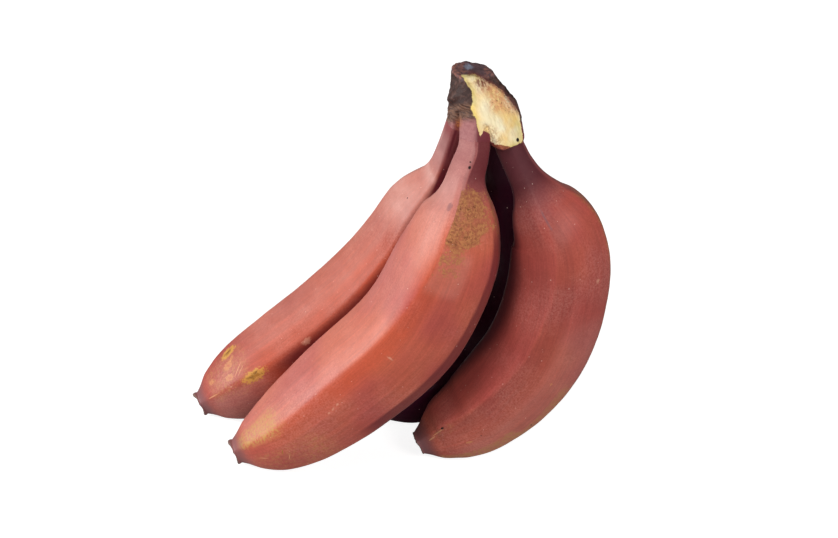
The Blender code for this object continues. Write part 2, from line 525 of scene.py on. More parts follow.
@dataclass(frozen=True)
class Patch:
    """A painted area of a finger, between two shares of its length and two angles."""

    tint: Tint
    shares: tuple[float, float]
    angles: tuple[float, float]  # degrees from the front, rising to the left
    share_fades: tuple[float, float] = (0.03, 0.03)
    angle_fades: tuple[float, float] = (12.0, 12.0)
    strength: float = 1.0
    follow: Point = (0.0, 0.0, 0.0)  # where its angles start: at the stem, half way, at the end

    def weight(self, share: float, angle: float) -> float:
        """How much of the patch is at a place, from 0 to 1.

        Args:
            share: Of the finger's length.
            angle: In degrees from the front.

        Returns:
            The weight, at most the patch's strength.
        """
        angle -= turn_along(self.follow, share)
        low, high = self.shares
        before = smooth_step(low - self.share_fades[0], low, share)
        after = smooth_step(high + self.share_fades[1], high, share)
        middle, half = sum(self.angles) / 2, (self.angles[1] - self.angles[0]) / 2
        off = (angle - middle + 180) % 360 - 180
        fade = self.angle_fades[1] if off > 0 else self.angle_fades[0]
        return self.strength * before * after * smooth_step(half + fade, half, abs(off))


@dataclass(frozen=True)
class Mark:
    """A kind of small blemish: its colours, how ragged it is, and how deep it lies."""

    skin: Colour
    core: Colour
    raggedness: float
    depth: float  # in millimetres, and negative where it stands proud
    strength: float = 1.0


class Blemish(Enum):
    """The kinds of small blemish."""

    PIT = Mark(colour(70, 36, 34), colour(22, 12, 12), 0.5, 0.35)
    OCHRE = Mark(colour(206, 152, 72), colour(170, 118, 44), 1.9, 0.10, 0.9)
    CRACK = Mark(colour(172, 120, 52), colour(138, 90, 36), 1.4, 0.08)
    SMUDGE = Mark(colour(214, 152, 94), colour(200, 118, 82), 2.4, 0.0, 0.55)
    PALE = Mark(colour(216, 150, 124), colour(226, 172, 146), 1.6, -0.02, 0.5)
    SCRATCH = Mark(colour(222, 160, 116), colour(228, 174, 130), 0.6, 0.04, 0.55)
    GREY = Mark(colour(128, 84, 88), colour(108, 76, 84), 1.4, 0.0, 0.55)


@dataclass(frozen=True)
class Spot:
    """One small blemish on a finger."""

    kind: Blemish
    share: float  # of the finger's length
    angle: float  # degrees from the front, rising to the left
    length: float
    width: float
    turn: float = 0.0  # degrees from lengthwise


@dataclass(frozen=True)
class Horn:
    """A dried point on the rim of a blossom end."""

    angle: float  # degrees from the front, rising to the left
    height: float
    width: float  # in degrees
    flare: float = 0.2  # how far it leans out, as a share of its height


@dataclass(frozen=True)
class PeelTextures:
    """What the effects on one peel share."""

    place: Socket
    along: Socket  # distance from the top of the stem
    fibres: bpy.types.NodeOutputs
    bloom: bpy.types.NodeOutputs
    clouds: Socket
    crumbs: Socket


@dataclass(frozen=True)
class PeelFinish:
    """The peel of one banana: its colours, from the stem to the blossom end."""

    red: Colour = colour(180, 80, 70)
    orange: Colour = colour(194, 95, 70)
    # Orange red along some crests; on the front right banana, painted light on its lit left facet.
    ember_and_painted_light: Colour = colour(184, 76, 48)
    stem: Colour = colour(140, 74, 78)
    stem_length: float = 26.0
    tip: Colour = colour(122, 84, 88)
    tip_length: float = 7.0
    dried: Colour = colour(120, 98, 80)
    scar: Colour = colour(52, 36, 34)
    bloom: Colour = colour(232, 178, 164)
    bloom_amount: float = 0.19
    # Pale bloom on the shoulders, and painted light on the lit sides and one underside.
    frost_and_painted_light: Colour = colour(234, 198, 190)
    scab: Colour = colour(186, 128, 78)
    scab_dark: Colour = colour(148, 86, 58)
    scab_speck: Colour = colour(86, 46, 22)
    olive: Colour = colour(196, 154, 86)
    gold: Colour = colour(186, 136, 82)
    # Purple red of the tip, and painted shade along crests and on facets turned from the lights.
    plum_and_painted_shade: Colour = colour(150, 62, 64)
    # Dark red of painted shade in creases, the gap and sides turned from the lights; partly the
    # peel's own.
    wine_and_painted_shade: Colour = colour(92, 16, 28)
    speck: Colour = colour(244, 212, 198)
    gloss: float = 0.27
    red_size: float = 34.0  # of the patches of each red
    cloud_size: float = 5.0
    crumb_size: float = 1.1
    fleck_size: float = 0.95  # of the dark crust in the scab
    stem_waver: float = 14.0  # how raggedly the stem's colour ends
    tip_waver: float = 4.0

    def textures(self, graph: Graph, effects: Effects) -> PeelTextures:
        """Places the textures that the effects share.

        Args:
            graph: The material's graph.
            effects: The shared node groups.

        Returns:
            The textures.
        """
        place = graph.place()
        grow = graph.painted("grow").outputs["Vector"]
        return PeelTextures(
            place=place,
            along=graph.node("ShaderNodeSeparateXYZ", {0: grow}).outputs["Z"],
            fibres=graph.group(effects.fibres, {"Grow": grow}).outputs,
            bloom=graph.group(effects.bloom, {"Place": place}).outputs,
            clouds=graph.noise(place, self.cloud_size * MM, detail=4.0, roughness=0.65),
            crumbs=graph.noise(place, self.crumb_size * MM, detail=3.0, roughness=0.7),
        )

    def grown(self, graph: Graph, look: PeelTextures) -> Socket:
        """Two reds, deeper ones on ridges and facets, partly painted light and shade, and streaks.

        Args:
            graph: The material's graph.
            look: The peel's textures.

        Returns:
            The colour.
        """
        patches = graph.band(graph.noise(look.place, self.red_size * MM), 0.35, 0.65)
        skin = graph.mix(patches, self.red, self.orange)
        # Orange red along crests, and on the front right banana a facet made brighter as painted
        # light.
        ember_and_painted_light = graph.times(graph.mask(Tint.EMBER_AND_PAINTED_LIGHT.value), graph.between(look.clouds, 0.5, 1.1))
        skin = graph.mix(ember_and_painted_light, skin, self.ember_and_painted_light)
        # Purple red, in places painted shade along crests and on shaded facets.
        skin = graph.mix(graph.mask(Tint.PLUM_AND_PAINTED_SHADE.value), skin, self.plum_and_painted_shade)
        streak = graph.between(look.fibres["Broad"], 0.80, 1.20)
        for texture, low, high in ((look.fibres["Fine"], 0.82, 1.18),
                                   (look.bloom["Grain"], 0.76, 1.24),
                                   (look.clouds, 0.90, 1.10)):
            streak = graph.times(streak, graph.between(texture, low, high))
        shade = graph.node("ShaderNodeCombineColor", {0: streak, 1: streak, 2: streak}).outputs[0]
        return graph.mix(1.0, skin, shade, "MULTIPLY")

    def painted_light_shade_and_wear(self, graph: Graph, look: PeelTextures, skin: Socket) -> Socket:
        """Adds the pale bloom and painted light, the painted shade, and the worn gold and olive.

        Args:
            graph: The material's graph.
            look: The peel's textures.
            skin: The skin's colour so far.

        Returns:
            The colour.
        """
        # Pale bloom, and painted light where the lit sides are made paler.
        frost_and_painted_light = graph.times(graph.mask(Tint.FROST_AND_PAINTED_LIGHT.value), graph.between(look.clouds, 0.25, 0.85))
        skin = graph.mix(frost_and_painted_light, skin, self.frost_and_painted_light)
        # Painted shade: dark red where shade falls, in creases, in the gap and on sides turned
        # from the lights.
        wine_and_painted_shade = graph.times(graph.mask(Tint.WINE_AND_PAINTED_SHADE.value), graph.between(look.clouds, 0.90, 1.12))
        skin = graph.mix(wine_and_painted_shade, skin, self.wine_and_painted_shade)
        soft = graph.plus(graph.between(look.crumbs, -0.35, 0.35),
                          graph.between(look.clouds, -0.25, 0.25))
        for tint, shade in ((Tint.GOLD, self.gold), (Tint.OLIVE, self.olive)):
            mask = graph.mask(tint.value)
            spread = graph.times(graph.band(mask, 0.0, 0.2), soft)
            worn = graph.band(graph.plus(mask, spread), 0.15, 1.2)
            worn = graph.times(worn, graph.between(
                graph.band(look.crumbs, 0.34, 0.62), 0.15, 0.9))
            skin = graph.mix(worn, skin, shade)
        return skin

    def scabbed(self, graph: Graph, effects: Effects, look: PeelTextures,
                skin: Socket) -> tuple[Socket, Socket]:
        """Adds the brown scab with its dark crust.

        Args:
            graph: The material's graph.
            effects: The shared node groups.
            look: The peel's textures.
            skin: The skin's colour so far.

        Returns:
            The colour, and the mask of the scab.
        """
        mask = graph.mask(Tint.SCAB.value)
        scab = graph.group(effects.patch, {
            "Mask": mask, "Clouds": graph.between(0.45, look.clouds, look.crumbs),
            "Raggedness": 2.0}).outputs[0]
        scab_skin = graph.mix(graph.band(look.crumbs, 0.35, 0.65), self.scab_dark, self.scab)
        scab_skin = graph.mix(graph.times(graph.band(look.clouds, 0.5, 0.3), 0.6),
                              scab_skin, skin)
        skin = graph.mix(graph.times(scab, 0.85), skin, scab_skin)
        flecks = graph.noise(graph.stretch(look.place, (1.0, 1.0, 0.7)), self.fleck_size * MM,
                             detail=4.0, roughness=0.75, distortion=0.3)
        crowd = graph.ragged(mask, look.clouds, 1.8)
        crust = graph.times(graph.band(flecks, 0.53, 0.60), graph.band(crowd, 0.72, 1.15))
        crust = graph.times(crust, graph.band(scab, 0.3, 0.8))
        return graph.mix(graph.times(crust, 0.85), skin, self.scab_speck), scab

    def ended(self, graph: Graph, look: PeelTextures, skin: Socket, end: Socket,
              length: float) -> Socket:
        """Adds the dull tip and the dried blossom end.

        Args:
            graph: The material's graph.
            look: The peel's textures.
            skin: The skin's colour so far.
            end: How far into the blossom end a place is.
            length: Of the finger, in metres.

        Returns:
            The colour.
        """
        tip = graph.band(graph.ragged(look.along, look.clouds, self.tip_waver * MM),
                         length - self.tip_length * MM, length - 0.8 * MM)
        skin = graph.mix(graph.times(tip, 0.8), skin, self.tip)
        dried = graph.mix(graph.band(look.crumbs, 0.35, 0.7), self.dried, self.tip)
        skin = graph.mix(graph.band(end, 0.02, 0.25), skin, dried)
        return graph.mix(graph.band(end, 0.42, 0.6), skin, self.scar)

    def build(self, name: str, effects: Effects, length: float,
              spots: list[tuple[Mark, Matrix]]) -> bpy.types.Material:
        """Builds the material.

        Args:
            name: The material's name.
            effects: The shared node groups.
            length: Of the finger, in metres.
            spots: Each small blemish's kind and its place and half sizes.

        Returns:
            The material.
        """
        material, graph, shader = new_material(name)
        look = self.textures(graph, effects)
        skin = self.grown(graph, look)
        stem = graph.band(graph.ragged(look.along, look.clouds, self.stem_waver * MM),
                          self.stem_length * 1.5 * MM, self.stem_length * 0.35 * MM)
        skin = graph.mix(graph.times(stem, 0.85), skin, self.stem)
        dust = graph.times(look.bloom["Amount"], graph.band(look.bloom["Grain"], 0.3, 0.75))
        dust = graph.times(dust, self.bloom_amount)
        skin = graph.mix(dust, skin, self.bloom)
        skin = self.painted_light_shade_and_wear(graph, look, skin)
        skin, scab = self.scabbed(graph, effects, look, skin)
        end = graph.mask("end")
        skin = self.ended(graph, look, skin, end, length)
        lenticels = graph.group(effects.specks, {
            "Place": look.place, "Per Metre": 420.0, "Share": 0.45, "Size": 0.10}).outputs[0]
        skin = graph.mix(graph.times(lenticels, 0.5), skin, self.speck)

        rough = graph.times(graph.maths("MAXIMUM", scab, end), look.crumbs)
        height = graph.layered((look.fibres["Broad"], 0.030), (look.fibres["Fine"], 0.012),
                               (look.bloom["Grain"], 0.030), (rough, 0.22))
        for mark, at in spots:
            where, turn, half = at.decompose()
            near = graph.node("ShaderNodeMapping", {
                "Vector": look.place, "Location": where, "Rotation": turn.to_euler(),
                "Scale": half}, vector_type="TEXTURE").outputs[0]
            spot = graph.group(effects.mark, {
                "Near": near, "Clouds": look.crumbs, "Raggedness": mark.raggedness}).outputs
            inner = graph.mix(spot["Core"], mark.skin, mark.core)
            skin = graph.mix(graph.times(spot["Mask"], mark.strength), skin, inner)
            height = graph.maths("SUBTRACT", height, graph.times(spot["Core"], mark.depth * MM))

        dull = graph.between(dust, 0.44, 0.62)
        dull = graph.between(stem, dull, 0.68)
        dull = graph.between(graph.maths("MAXIMUM", scab, end), dull, 0.8)
        graph.finish(shader, skin, dull, height)
        shader.inputs["Specular IOR Level"].default_value = self.gloss
        shader.inputs["Sheen Weight"].default_value = 0.05
        shader.inputs["Sheen Roughness"].default_value = 0.5
        return material


@dataclass(frozen=True)
class Station:
    """One place on a finger's middle line, with its directions and the skin's reach there."""

    centre: Vector
    along: Vector
    front: Vector
    side: Vector
    reach: float
    share: float
    distance: float
    ridges: tuple[float, ...]  # in degrees from the front, rising
    ridge_height: float  # from the flat between two ridges to a ridge, as a share of the reach

    def out(self, angle: float) -> Vector:
        """The direction out of the middle line at an angle from the front, in degrees."""
        return self.front * cos(radians(angle)) - self.side * sin(radians(angle))

    def relief(self, angle: float) -> float:
        """How far the skin stands out at an angle, as a share of the reach.

        Args:
            angle: In degrees from the front.

        Returns:
            A number just above 0 on a ridge and just below 0 on the flat between two.
        """
        laps = [*self.ridges, self.ridges[0] + 360]
        angle = (angle - laps[0]) % 360 + laps[0]
        low, high = next((a, b) for a, b in zip(laps, laps[1:]) if angle <= b)
        away = min(angle - low, high - angle) / ((high - low) / 2)
        flat = min(1.0, hypot(away, RIDGE_ROUNDING))
        return self.ridge_height * ((1 - flat) ** 2 - 1 / 3)


@dataclass
class Finger:
    """One banana: its middle line from the crown to the blossom end, and what is on it."""

    name: str
    node: str
    line: tuple[Point, ...]
    girth: float  # as a share of FINGER_GIRTH
    neck: float  # how late the neck widens: 1 is as THICKNESS says
    ridges: tuple[Point, ...]  # each one's angle at the stem, half way and at the end
    finish: PeelFinish
    horns: tuple[Horn, ...]
    patches: tuple[Patch, ...] = ()
    spots: tuple[Spot, ...] = ()
    stem_ridge: float = 0.09  # as RIDGE_HEIGHT, on the stem
    overlap: float = 0.7  # of the crown over the stem, which hides the joint between them

    def __post_init__(self) -> None:
        """Lays the stations along the finger, one for each ring of its skin."""
        self.body_rings = RINGS - TOP_RINGS - END_RINGS
        points = smooth_line([Vector(p) * MM for p in self.line], self.body_rings)
        self.length = sum((b - a).length for a, b in zip(points, points[1:]))
        self.half_girth = FINGER_GIRTH / 2 * MM * self.girth
        shares, widths = zip(*THICKNESS)
        last = self.body_rings - 1
        self.stations = []
        for i, centre in enumerate(points):
            along = (points[min(i + 1, last)] - points[max(i - 1, 0)]).normalized()
            side = Vector((0, -1, 0)).cross(along).normalized()
            share = i / last
            reach = self.half_girth * spline(shares, widths, share ** self.neck)
            ridges = tuple(turn_along(ridge, share) for ridge in self.ridges)
            height = self.stem_ridge + (RIDGE_HEIGHT - self.stem_ridge) * smooth_step(
                RIDGE_START, RIDGE_FULL, share)
            self.stations.append(Station(
                centre, along, along.cross(side), side, reach, share, share * self.length,
                ridges, height))

    def skin_point(self, station: Station, angle: float) -> Vector:
        """A point of the skin: the rounded five-sided section, with the growth's own lumps.

        Args:
            station: The place along the finger.
            angle: In degrees from the front.

        Returns:
            The point, in metres.
        """
        out = station.out(angle)
        point = station.centre + out * station.reach * (1 + station.relief(angle))
        lumps = sum(height * noise.noise(point * often) for height, often in LUMPS)
        swell = min(1.0, station.reach / (LUMPY_REACH * MM))
        return point + out * lumps * MM * swell

    def end_point(self, angle: float, inward: float) -> Vector:
        """A point of the dried blossom end.

        Args:
            angle: In degrees from the front.
            inward: From 0 at the skin, over the rim, to 1 in the middle of the scar.

        Returns:
            The point, in metres.
        """
        station = self.stations[-1]
        steps, widths, rises, depths = zip(*END_PROFILE)
        rim = RIM_HEIGHT + RIM_ON_RIDGE * max(0.0, station.relief(angle))
        flare = 0.0
        for horn in self.horns:
            off = (angle - horn.angle + 180) % 360 - 180
            bell = exp(-((off / horn.width) ** 2))
            rim += horn.height * bell
            flare += horn.height * horn.flare * bell
        turn = radians(angle)
        wave, turns = RIM_WAVE
        rim += wave * noise.noise(Vector((cos(turn), sin(turn), len(self.name))) * turns)
        rise = max(0.0, spline(steps, rises, inward))
        width = max(0.0, spline(steps, widths, inward))
        depth = SCAR_DEPTH * max(0.0, spline(steps, depths, inward))
        foot = self.skin_point(station, angle)
        reach = (foot - station.centre) * width
        crumble, often = RIM_CRUMBLE
        crumble *= noise.noise((foot + station.along * inward * 4 * MM) * often) * rise
        point = station.centre + reach + reach.normalized() * (flare * rise + crumble) * MM
        return point + station.along * (rim * rise - depth) * MM

    def place(self, ring: int, angle: float) -> tuple[Vector, float, float, float]:
        """Where one point of the sphere that the skin starts from goes.

        Args:
            ring: Its ring, from 0 in the hidden top of the stem.
            angle: In degrees from the front.

        Returns:
            The point, its share of the length, its distance along the finger, and how far
            into the blossom end it is.
        """
        first = self.stations[0]
        if ring <= TOP_RINGS:
            top = self.skin_point(first, angle) - first.centre
            centre = first.centre - first.along * HIDDEN_STEM * MM
            inside = HIDDEN_WIDTH * ring / TOP_RINGS
            return centre + top * inside, 0.0, -HIDDEN_STEM * MM, 0.0
        if ring <= RINGS - END_RINGS:
            station = self.stations[ring - TOP_RINGS - 1]
            point = self.skin_point(station, angle)
            return point, station.share, station.distance, 0.0
        inward = (ring - (RINGS - END_RINGS)) / END_RINGS
        distance = self.length + inward * SCAR_FALL * MM
        return self.end_point(angle, inward), 1.0, distance, inward

    def mesh(self) -> bpy.types.Mesh:
        """The skin as a mesh, with its growth lines and tints.

        Returns:
            The mesh.
        """
        bm = bmesh.new()
        bmesh.ops.create_uvsphere(bm, u_segments=AROUND, v_segments=RINGS, radius=1.0)
        grow_layer = bm.verts.layers.float_vector.new("grow")
        end_layer = bm.verts.layers.float.new("end")
        tints = {tint: bm.verts.layers.float.new(tint.value) for tint in Tint}
        for vert in bm.verts:
            polar = atan2(hypot(vert.co.x, vert.co.y), vert.co.z)
            turn = atan2(vert.co.y, vert.co.x)
            ring = round(polar / pi * RINGS)
            angle = degrees(turn)
            point, share, distance, inward = self.place(ring, angle)
            vert.co = (point.x, point.y, max(0.0, point.z))
            vert[grow_layer] = (cos(turn) * self.half_girth, sin(turn) * self.half_girth, distance)
            vert[end_layer] = inward
            for tint, layer in tints.items():
                vert[layer] = min(1.0, sum(
                    p.weight(share, angle) for p in self.patches if p.tint is tint))
        bmesh.ops.recalc_face_normals(bm, faces=bm.faces)
        put_in_order(bm)
        mesh = bpy.data.meshes.new(self.name)
        bm.to_mesh(mesh)
        bm.free()
        mesh.shade_smooth()
        return mesh

    def spot_matrix(self, spot: Spot) -> Matrix:
        """The place, turn and half sizes of a small blemish, as a matrix.

        Args:
            spot: The blemish.

        Returns:
            The matrix, in metres.
        """
        station = self.stations[round(spot.share * (self.body_rings - 1))]
        point = self.skin_point(station, spot.angle)
        out = station.out(spot.angle)
        across = out.cross(station.along).normalized()
        turned = Matrix.Rotation(radians(spot.turn), 3, out)
        long = turned @ station.along
        wide = turned @ across
        basis = Matrix((long, wide, long.cross(wide))).transposed().to_4x4()
        sizes = Matrix.Diagonal((spot.length / 2 * MM, spot.width / 2 * MM, 4 * MM, 1.0))
        return Matrix.Translation(point) @ basis @ sizes

    def build(self, effects: Effects) -> bpy.types.Object:
        """Makes the banana and stands it in for its CAD node.

        Args:
            effects: The shared node groups.

        Returns:
            The object.
        """
        banana = bpy.data.objects.new(self.name, self.mesh())
        bpy.context.scene.collection.objects.link(banana)
        spots = [(spot.kind.value, self.spot_matrix(spot)) for spot in self.spots]
        material = self.finish.build("peel_of_" + self.name, effects, self.length, spots)
        banana.data.materials.append(material)
        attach(banana, "root")
        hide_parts(self.node)
        return banana


# ---- the crown ------------------------------------------------------------------------

COLLAR_LENGTH = 17.0  # of the part of a stem that belongs to the crown
COLLAR = ((0.0, 1.0), (0.06, 1.015), (0.45, 1.06), (0.7, 1.08), (0.9, 0.92), (1.0, 0.6))
COLLAR_SIDES = 60
LOBES = 3
LOBE_HEIGHT = 0.06
LOBE_TURN = 9.0  # height over which the lobes turn by one radian
COLUMN_STEPS = 24  # rings of a column, less one
SMOOTHINGS = 6  # rounds in which the grown skin is smoothed

# From below upwards: height of the column's middle, how steeply it drops to the right, its
# middle (X, Y), and its half widths (X, Y).
COLUMN = (
    (147.0, 0.35, (37.5, -6.0), (7.5, 6.5)),
    (149.2, 0.30, (36.4, -6.0), (12.6, 11.0)),
    (152.5, 0.25, (35.3, -5.6), (13.8, 12.3)),
    (157.0, 0.20, (33.5, -5.0), (12.4, 11.8)),
    (162.0, 0.12, (31.2, -4.4), (9.3, 9.6)),
    (166.0, 0.05, (29.8, -4.0), (8.0, 8.2)),
    (176.0, 0.00, (29.6, -4.0), (7.9, 8.2)),
)
# The same for the shelf of flesh that joins the two front stems and juts over the right one.
SHELF = (
    (140.3, 0.00, (43.8, -13.9), (6.2, 7.2)),
    (142.4, 0.00, (43.6, -13.5), (7.2, 7.6)),
    (147.0, 0.05, (42.3, -12.0), (8.2, 9.0)),
    (153.0, 0.10, (39.0, -9.0), (8.6, 9.0)),
)
FRONT_CUTS = (
    ((30.6, -13.0, 162.9), (0.35, -0.65, 0.68)),
    ((30.8, -14.0, 161.0), (0.56, -0.66, 0.50)),
    ((41.7, -20.2, 142.0), (0.42, -0.85, 0.30)),
)
CUT_REACH = 8.0  # skin that lies further than this behind the front cuts isn't cut
EDGE_ON = 0.05  # skin that faces the front by less than this isn't cut either
REACH_FADE, EDGE_FADE = 3.0, 6.0  # how soon the cut begins within those two bounds
TOP_CUT = ((30.0, -3.0, 166.2), (0.10, 0.0, 1.0))

# Seen square on from the front and a little above, the crown's flanks are flat: a point of
# each, to the right of the bunch's middle and up in that view, and the way it faces there.
VIEW_TILT = 30.0
FLANKS = (
    ((49.4, 121.5), (0.98, 0.18)),
    ((47.7, 128.8), (0.93, 0.37)),
    ((43.2, 135.3), (0.755, 0.656)),
    ((21.0, 128.0), (-1.0, 0.0)),
)

# The outline of the knife's face in the same view. It starts at the top left, and runs down
# the left edge to a pointed drip, along the ragged lower edge over the right stem, and back
# up the right edge.
CUT_OUTLINE = (
    (25.7, 139.8), (27.6, 136.4), (29.5, 133.8), (29.9, 129.6), (29.2, 126.9), (31.1, 123.3),
    (31.8, 119.7), (33.0, 116.3), (34.1, 119.0), (36.7, 117.8), (36.9, 115.2), (38.6, 114.0),
    (42.4, 113.3), (48.1, 112.7), (49.5, 117.1), (48.4, 123.1), (47.8, 126.6), (44.6, 130.7),
    (41.3, 134.6), (37.1, 137.2), (33.7, 139.0), (30.3, 140.6),
)


Fade = tuple[float, float]  # where a fade starts from nothing, and where it is full


@dataclass(frozen=True)
class Area:
    """A soft-edged area of the crown, in the same view as the cut's outline.

    It is as strong as all of its fades let it be: to the right, upwards, and inland, which is
    how far inside the cut's outline a place is. A round spot lies at its middle (right, up).
    """

    right: tuple[Fade, ...] = ()
    up: tuple[Fade, ...] = ()
    inland: tuple[Fade, ...] = ()
    spot: tuple[float, float] | None = None
    half_sizes: tuple[float, float] = (1.0, 1.0)
    strength: float = 1.0

    def weight(self, right: float, up: float, inland: float) -> float:
        """How much of the area is at a place, from 0 to its strength.

        Args:
            right: Of the bunch's middle, in the view of the cut's outline.
            up: In the same view.
            inland: How far inside the cut's outline the place is.

        Returns:
            The weight.
        """
        weight = self.strength
        for fades, at in ((self.right, right), (self.up, up), (self.inland, inland)):
            for start, full in fades:
                weight *= smooth_step(start, full, at)
        if self.spot:
            off = ((right - self.spot[0]) / self.half_sizes[0],
                   (up - self.spot[1]) / self.half_sizes[1])
            weight *= exp(-(off[0] ** 2 + off[1] ** 2))
        return weight


# What is painted on the crown: the strongest of its areas counts at each place.
AREAS: dict[str, tuple[Area, ...]] = {
    "band": (Area(up=((129.8, 128.4),), right=((36.0, 33.0),)),),
    "stem": (Area(up=((124.6, 121.2),)),),
    # Painted shade: the stems' sides that turn away from the lights are darker.
    "shade": (Area(right=((30.9, 32.2),)), Area(right=((22.6, 24.2), (25.4, 25.0)))),
    "web": (
        Area(spot=(25.0, 122.2), half_sizes=(1.2, 1.8)),
        Area(right=((37.0, 39.0),), up=((116.0, 114.5),), inland=((-2.0, -0.8),), strength=0.7),
    ),
    "rusty": (Area(right=((29.5, 25.0),), strength=0.75),
              Area(right=((32.5, 36.0),), strength=0.75)),
    "rust": (
        Area(right=((27.2, 28.8),), up=((134.0, 137.0),)),
        Area(right=((35.0, 40.0),), up=((124.0, 127.0),), strength=0.8),
    ),
    "stain": (Area(spot=(33.0, 137.2), half_sizes=(2.6, 2.2), strength=0.9),),
    "streaks": (Area(right=((30.5, 33.0), (38.0, 35.5)), up=((130.5, 135.5),)),),
    "oxide": (Area(right=((33.0, 38.0),), up=((124.0, 128.5), (141.0, 139.0))),),
    # Painted highlight: a paler patch in the middle of the cut face.
    "pale": (Area(spot=(34.6, 127.4), half_sizes=(3.0, 5.0)),),
    "torn": (Area(right=((33.0, 35.0), (43.0, 39.5)), up=((123.5, 119.5),),
                  inland=((4.5, 1.0),)),),
    "green": (
        Area(right=((34.0, 31.0),), inland=((2.6, 0.2),)),
        Area(right=((42.0, 46.0),), up=((126.0, 121.0),), inland=((4.0, 0.3),)),
    ),
    "pit": (Area(spot=(47.3, 115.8), half_sizes=(0.7, 0.9)),),
}
LEFT_FLANK = (26.0, 22.5)  # to the right of this, the bark has no node and no waist
NODE_UP, NODE_HALF = 131.4, 1.3  # the swollen ring where the stems begin
WAIST_UP, WAIST_HALF = 137.2, 2.8  # the narrower part above it
TOP_FADE = (-1.6, -0.4)  # depth below the top cut over which the bark becomes its dried end
GREY_SPOT = (28.6, -1.5, 2.2, 2.8)  # the grey spot on top: X, Y and its half sizes
DOME_REACH = 7.0  # how far inside its outline the cut face is at its full swell
CUT_FADE = (-0.2, 0.8)  # inland distances over which the cut's swell sets in
BARK_FADE = (0.2, -1.0)  # and over which the bark's relief does
BARK_LIFT = 0.25  # of the bark above the cut face
FOLD_HEIGHT = 0.16  # of the wrinkles in the band
STEM_CALM = 0.8  # how much smoother the stems are than the bark


def from_view(right: float, up: float) -> Vector:
    """A place or a direction seen from the front and a little above, in the bunch's frame."""
    tilt = radians(VIEW_TILT)
    return Vector((right, up * sin(tilt), up * cos(tilt)))


